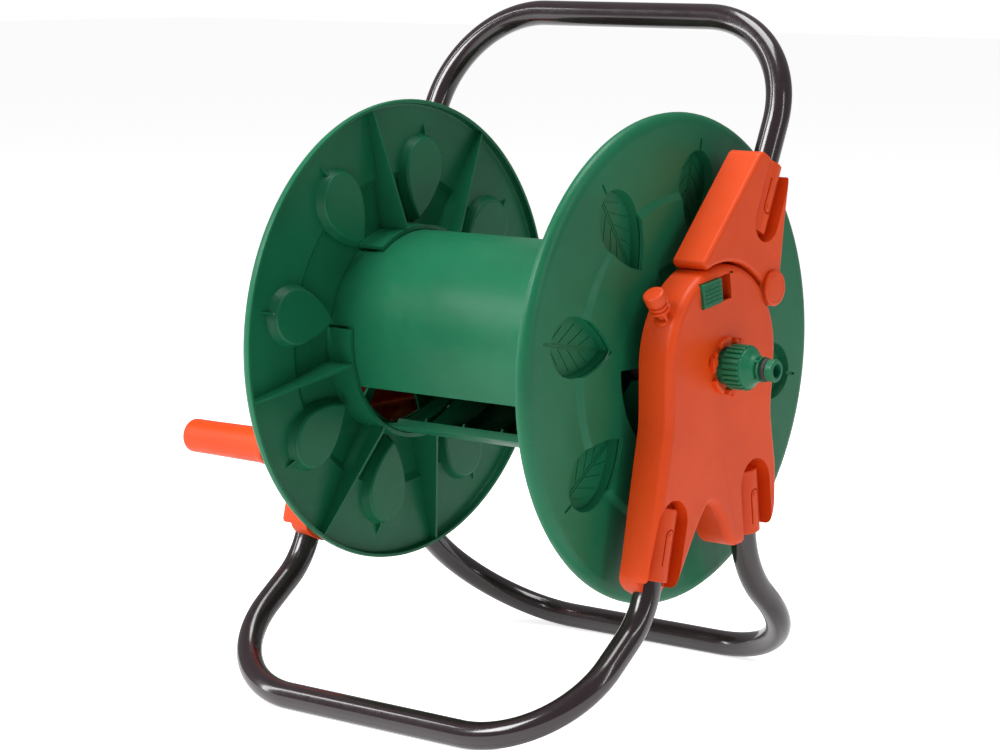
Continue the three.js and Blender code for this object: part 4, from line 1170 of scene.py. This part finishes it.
def parking_peg():
    """The peg that holds the loose hose end: flanged head, two rings on its neck and a ribbed foot."""
    x = 158.5
    foot, lean = math.radians(149), math.radians(127)
    way = (math.cos(lean), math.sin(lean))
    edge = along(HEAD_CENTRE, (math.cos(foot), math.sin(foot)), size.head_radius, 0)
    origin = along(edge, way, -4, 0)
    peg = turned(
        [
            (7.6, 0), (7.6, 3), (7.4, 3.6), (4.2, 4.4), (4.0, 9.0), (6.6, 9.6), (7.2, 10.0), (7.4, 10.6), (7.4, 11.4),
            (7.1, 11.9), (6.2, 12.2), (6.0, 12.8), (6.2, 13.4), (7.1, 13.7), (7.4, 14.2), (7.4, 15), (7.1, 15.5),
            (6.2, 15.8), (6.0, 16.4), (6.2, 17), (7.3, 17.4), (7.7, 18), (7.7, 23.8), (7.4, 24.8), (6.8, 25.3),
            (5.8, 25.5),
        ],
        56,
    )
    web = prism([(-7, 2), (7, 2), (6, 11), (-6, 11)], -0.9, 0.9)
    fused(peg, set_down(web, Matrix(((0, 0, 1), (1, 0, 0), (0, 1, 0))).to_4x4()))
    peg = stood_on(peg, (x, *origin), way)
    return cut(peg, turned([(size.head_radius + CLEAR, 100), (size.head_radius + CLEAR, 200)], 128, HEAD_CENTRE))


# ---- Crank, modelled on the inlet side and mirrored

GRIP_BORE = 5.3
GRIP_RADIUS = 13


def crank_bush():
    inner, outer = 12.1, BUSH_RADIUS
    back, face = size.bracket_back, size.bracket_face
    profile = [
        (inner, back + 1), (outer - 0.4, back + 1), (outer, back + 1.4), (outer, face + 0.3), (outer + 3.6, face + 0.3),
        (outer + 4, face + 0.7), (outer + 4, face + 2), (outer + 3.4, face + 2.4), (inner, face + 2.4),
        (inner, back + 1),
    ]
    return turned(profile, 64, filled=False)


def capsule(wide, narrow, reach, way, start=0, steps=20):
    """A round-ended outline that narrows along a way."""
    lean = math.degrees(math.asin((wide - narrow) / (reach - start)))
    outline = []
    bows = ((start, wide, 90 + lean, 270 - lean), (reach, narrow, -90 - lean + 360, 450 + lean))
    for centre, radius, first, last in bows:
        for k in range(steps + 1):
            angle = math.radians(first + (last - first) * k / steps)
            outline.append(along((0, 0), way, centre + radius * math.cos(angle), radius * math.sin(angle)))
    return outline


def crank_arm():
    """The crank arm: hub, tapering arm with a ribbed pocket, and the eye for the grip's pin."""
    back, front = size.crank_back, size.crank_back + 11
    reach = math.hypot(*GRIP_AXIS)
    way = heading((0, 0), GRIP_AXIS)
    arm = prism(capsule(13, 12, reach, way), back, front, 2.2, 4)
    pocket = prism(capsule(7.4, 6.8, reach - 26, way, 31), back + 3, front + 1)
    cut(arm, pocket)
    corners = ((22, -0.9), (reach - 18, -0.9), (reach - 18, 0.9), (22, 0.9))
    rib = prism([along((0, 0), way, s, t) for s, t in corners], back + 1, front - 2)
    fused(arm, rib)
    fused(arm, turned([(16.4, back), (17, back + 0.6), (17, front + 1), (16, front + 2.5), (14.4, front + 3)]))
    cut(arm, block((back - 1, front), (-7.8, 7.8), (-7.8, 7.8)))
    cut(arm, turned([(2.4, back), (2.4, front + 4)], 24))
    return cut(arm, turned([(GRIP_BORE, back - 1), (GRIP_BORE, front + 1)], 32, GRIP_AXIS))


def crank_screw():
    """A pan-head screw with a cross recess."""
    back, head = size.crank_back, size.crank_back + 14.3
    screw = turned(
        [
            (1.2, back - 8), (1.7, back - 7), (1.7, head), (4.8, head), (5, head + 0.4), (4.7, head + 1.6),
            (3.6, head + 2.6), (1.5, head + 3),
        ],
        40,
    )
    cut(screw, block((head + 1.2, head + 4), (-2.6, 2.6), (-0.5, 0.5)))
    return cut(screw, block((head + 1.2, head + 4), (-0.5, 0.5), (-2.6, 2.6)))


def grip_pin():
    back, end = size.crank_back - 0.8, size.grip_end - 9
    return turned(
        [(8.4, back - 1), (9, back - 0.6), (9, back), (8.6, back + 0.2), (5, back + 0.2), (5, end - 0.8), (4.2, end)],
        48,
        GRIP_AXIS,
    )


def crank_grip():
    """The turning grip: a plain barrel, a little thicker at the arm, with a well-rounded end."""
    start, end = size.crank_back + 11.6, size.grip_end
    quarter = [math.radians(90 * k / 8) for k in range(1, 9)]
    wide, high = 5.5, 4.5
    dome = [(GRIP_RADIUS - wide + wide * math.cos(a), end - high + high * math.sin(a)) for a in quarter]
    profile = [
        (13.2, start), (13.9, start + 0.4), (14.2, start + 1.2), (14.2, start + 4.6), (13.9, start + 5.4),
        (13.6, start + 6.6), (13.5, start + 12), (GRIP_RADIUS, end - 20), (GRIP_RADIUS, end - high), *dome, (3, end),
    ]
    grip = turned(profile, 72, GRIP_AXIS)
    return cut(grip, turned([(5.1, start - 1), (5.1, end - 8)], 40, GRIP_AXIS))


# ---- Stage, in metres

FLOOR_SIZE = 30
# Strength as light and as the camera sees it
FLOOR_GLOW = (0.25, 0.72)
WORLD_GLOW = (0.26, 1.0)
# Name, place, width, height and watts
LIGHTS = [
    ("key", (-0.7, -2.2, 2.0), 1.1, 1.1, 56),
    ("left_strip", (-1.6, -1.2, 0.9), 0.2, 1.8, 12),
    ("right_strip", (2.4, 0.1, 1.3), 0.16, 1.8, 9),
    ("top", (0.0, 0.1, 2.4), 1.2, 1.2, 34),
]
LIGHT_TARGET = (0, 0, 0.25)
CAMERA_AZIMUTH, CAMERA_ELEVATION, CAMERA_ROLL = 37.65, 7.85, 0.41
CAMERA_DISTANCE = 2.0846
CAMERA_LENS, CAMERA_SENSOR = 101.97, 36
CAMERA_SHIFT = (-0.0318, -0.0315)


def glow(tree, strengths, target):
    """Makes a surface or world brighter to the camera than it is as a light."""
    seen = tree.nodes.new("ShaderNodeLightPath").outputs["Is Camera Ray"]
    strength = tree.nodes.new("ShaderNodeMapRange")
    strength.inputs["To Min"].default_value, strength.inputs["To Max"].default_value = strengths
    tree.links.new(seen, strength.inputs["Value"])
    tree.links.new(strength.outputs["Result"], target)


def stage_floor():
    paper = Nodes("Backdrop paper")
    paper.surface.inputs["Base Color"].default_value = (*bpy.context.scene.reel_colours.paper, 1)
    paper.surface.inputs["Roughness"].default_value = 0.9
    paper.surface.inputs["Emission Color"].default_value = (1, 1, 1, 1)
    glow(paper.tree, FLOOR_GLOW, paper.surface.inputs["Emission Strength"])
    put_down()
    bpy.ops.mesh.primitive_plane_add(size=FLOOR_SIZE, location=(0, 0, 0))
    floor = bpy.context.active_object
    floor.name = "floor"
    floor.data.materials.append(paper.material)


def studio():
    world = bpy.data.worlds.new("Studio")
    bpy.context.scene.world = world
    world.use_nodes = True
    background = world.node_tree.nodes["Background"]
    background.inputs["Color"].default_value = (1, 1, 1, 1)
    glow(world.node_tree, WORLD_GLOW, background.inputs["Strength"])
    for name, place, width, height, power in LIGHTS:
        put_down()
        bpy.ops.object.light_add(type="AREA", location=place)
        light = bpy.context.active_object
        light.name = name
        light.data.shape = "RECTANGLE"
        light.data.size, light.data.size_y = width, height
        light.data.energy = power
        light.rotation_euler = (Vector(LIGHT_TARGET) - Vector(place)).to_track_quat("-Z", "Y").to_euler()


def stood_camera():
    azimuth, elevation = math.radians(CAMERA_AZIMUTH), math.radians(CAMERA_ELEVATION)
    level = math.cos(elevation)
    back = Vector((math.sin(azimuth) * level, -math.cos(azimuth) * level, math.sin(elevation)))
    roll = Matrix.Rotation(math.radians(CAMERA_ROLL), 4, "Z").to_quaternion()
    put_down()
    bpy.ops.object.camera_add(location=AXLE + back * CAMERA_DISTANCE)
    camera = bpy.context.active_object
    camera.rotation_euler = (back.to_track_quat("Z", "Y") @ roll).to_euler()
    camera.data.lens, camera.data.sensor_width = CAMERA_LENS, CAMERA_SENSOR
    camera.data.shift_x, camera.data.shift_y = CAMERA_SHIFT
    camera.data.clip_end = 100
    bpy.context.scene.camera = camera


# ---- Operators


class REEL_OT_stage(bpy.types.Operator):
    """Make the pale floor, the soft studio light and the camera"""

    bl_idname = "reel.stage"
    bl_label = "Stage"

    def execute(self, context):
        stage_floor()
        studio()
        stood_camera()
        context.scene.view_settings.view_transform = "Standard"
        return {"FINISHED"}


class REEL_OT_tubes(bpy.types.Operator):
    """Bend the two foot tubes and the carry handle's tube"""

    bl_idname = "reel.tubes"
    bl_label = "Stand tubes"

    def execute(self, context):
        knee, bar = size.front_knee_bend, size.front_bar_bend
        front = bent_tube((FRONT_SOCKET, FRONT_KNEE, FRONT_BAR), (knee, bar, bar, knee))
        fitted(front, "front_foot_tube", "enamel")
        knee, bar = size.rear_knee_bend, size.rear_bar_bend
        rear = bent_tube((REAR_SOCKET, REAR_KNEE, REAR_BAR), (knee, bar, bar, knee))
        fitted(rear, "rear_foot_tube", "enamel")
        handle = bent_tube((HANDLE_SOCKET, HANDLE_BAR), (size.handle_bend, size.handle_bend))
        fitted(handle, "handle_tube", "enamel")
        return {"FINISHED"}


class REEL_OT_brackets(bpy.types.Operator):
    """Mould the side brackets and the handle brackets"""

    bl_idname = "reel.brackets"
    bl_label = "Brackets"

    def execute(self, context):
        fitted(inlet_bracket(), "inlet_side_bracket", "orange")
        fitted(crank_bracket(), "crank_side_bracket", "orange", mirrored=True)
        first = handle_bracket()
        second = copied(first)
        fitted(first, "inlet_handle_bracket", "orange")
        fitted(second, "crank_handle_bracket", "orange", mirrored=True)
        return {"FINISHED"}


class REEL_OT_hinges(bpy.types.Operator):
    """Make the hinge pins, their clips and the latches"""

    bl_idname = "reel.hinges"
    bl_label = "Hinges and latches"

    def execute(self, context):
        for side, mirrored in (("inlet", False), ("crank", True)):
            fitted(hinge_pin(), side + "_hinge_pin", "orange", mirrored)
            fitted(hinge_clip(), side + "_hinge_clip", "steel", mirrored)
            fitted(latch(), side + "_latch", "green", mirrored)
        return {"FINISHED"}


class REEL_OT_drum(bpy.types.Operator):
    """Mould the flanges and the two shells of the core"""

    bl_idname = "reel.drum"
    bl_label = "Drum"

    def execute(self, context):
        first = flange_body()
        second = copied(first)
        fitted(inlet_flange(first), "inlet_flange", "green")
        fitted(crank_flange(second), "crank_flange", "green", mirrored=True)
        fitted(core_shell(FRONT_SHELL, 0), "front_core_shell", "green")
        fitted(core_shell(REAR_SHELL, 180), "rear_core_shell", "green")
        return {"FINISHED"}


class REEL_OT_water_way(bpy.types.Operator):
    """Make the spigot, seals, elbow, tap adapter and parking peg"""

    bl_idname = "reel.water_way"
    bl_label = "Water way"

    def execute(self, context):
        fitted(inlet_spigot(), "inlet_spigot", "green")
        fitted(flat_ring(9.5, 12.5, 103, 104.7), "spigot_seal", "rubber")
        fitted(hose_elbow(), "hose_elbow", "black")
        fitted(tap_adapter(), "tap_adapter", "green")
        fitted(flat_ring(5.65, 12.8, 188.3, 190.1), "adapter_washer", "rubber")
        fitted(o_ring(), "nipple_o_ring", "rubber")
        fitted(parking_peg(), "parking_peg", "orange")
        return {"FINISHED"}


class REEL_OT_crank(bpy.types.Operator):
    """Make the crank: bush, arm, screw, pin and turning grip"""

    bl_idname = "reel.crank"
    bl_label = "Crank"

    def execute(self, context):
        fitted(crank_bush(), "crank_bush", "black", mirrored=True)
        fitted(crank_arm(), "crank_arm", "orange", mirrored=True)
        fitted(crank_screw(), "crank_screw", "steel", mirrored=True)
        fitted(grip_pin(), "grip_pin", "steel", mirrored=True)
        fitted(crank_grip(), "crank_grip", "orange", mirrored=True)
        return {"FINISHED"}


STEPS = (
    REEL_OT_stage,
    REEL_OT_tubes,
    REEL_OT_brackets,
    REEL_OT_hinges,
    REEL_OT_drum,
    REEL_OT_water_way,
    REEL_OT_crank,
)


class REEL_PT_panel(bpy.types.Panel):
    """Lists the reel's pieces, sizes and colours"""

    bl_idname = "REEL_PT_panel"
    bl_label = "Garden hose reel"
    bl_space_type = "VIEW_3D"
    bl_region_type = "UI"
    bl_category = "Hose reel"

    def draw(self, context):
        for step in STEPS:
            self.layout.operator(step.bl_idname)
        for group in (context.scene.reel_sizes, context.scene.reel_colours):
            column = self.layout.column(align=True)
            for name in group.__annotations__:
                column.prop(group, name)


CLASSES = (ReelSizes, ReelColours, *STEPS, REEL_PT_panel)


def register():
    for each in CLASSES:
        bpy.utils.register_class(each)
    bpy.types.Scene.reel_sizes = PointerProperty(type=ReelSizes)
    bpy.types.Scene.reel_colours = PointerProperty(type=ReelColours)


def unregister():
    del bpy.types.Scene.reel_colours
    del bpy.types.Scene.reel_sizes
    for each in reversed(CLASSES):
        bpy.utils.unregister_class(each)


def main():
    register()
    for step in STEPS:
        group, name = step.bl_idname.split(".")
        getattr(getattr(bpy.ops, group), name)()
    put_down()


if __name__ == "__main__":
    main()
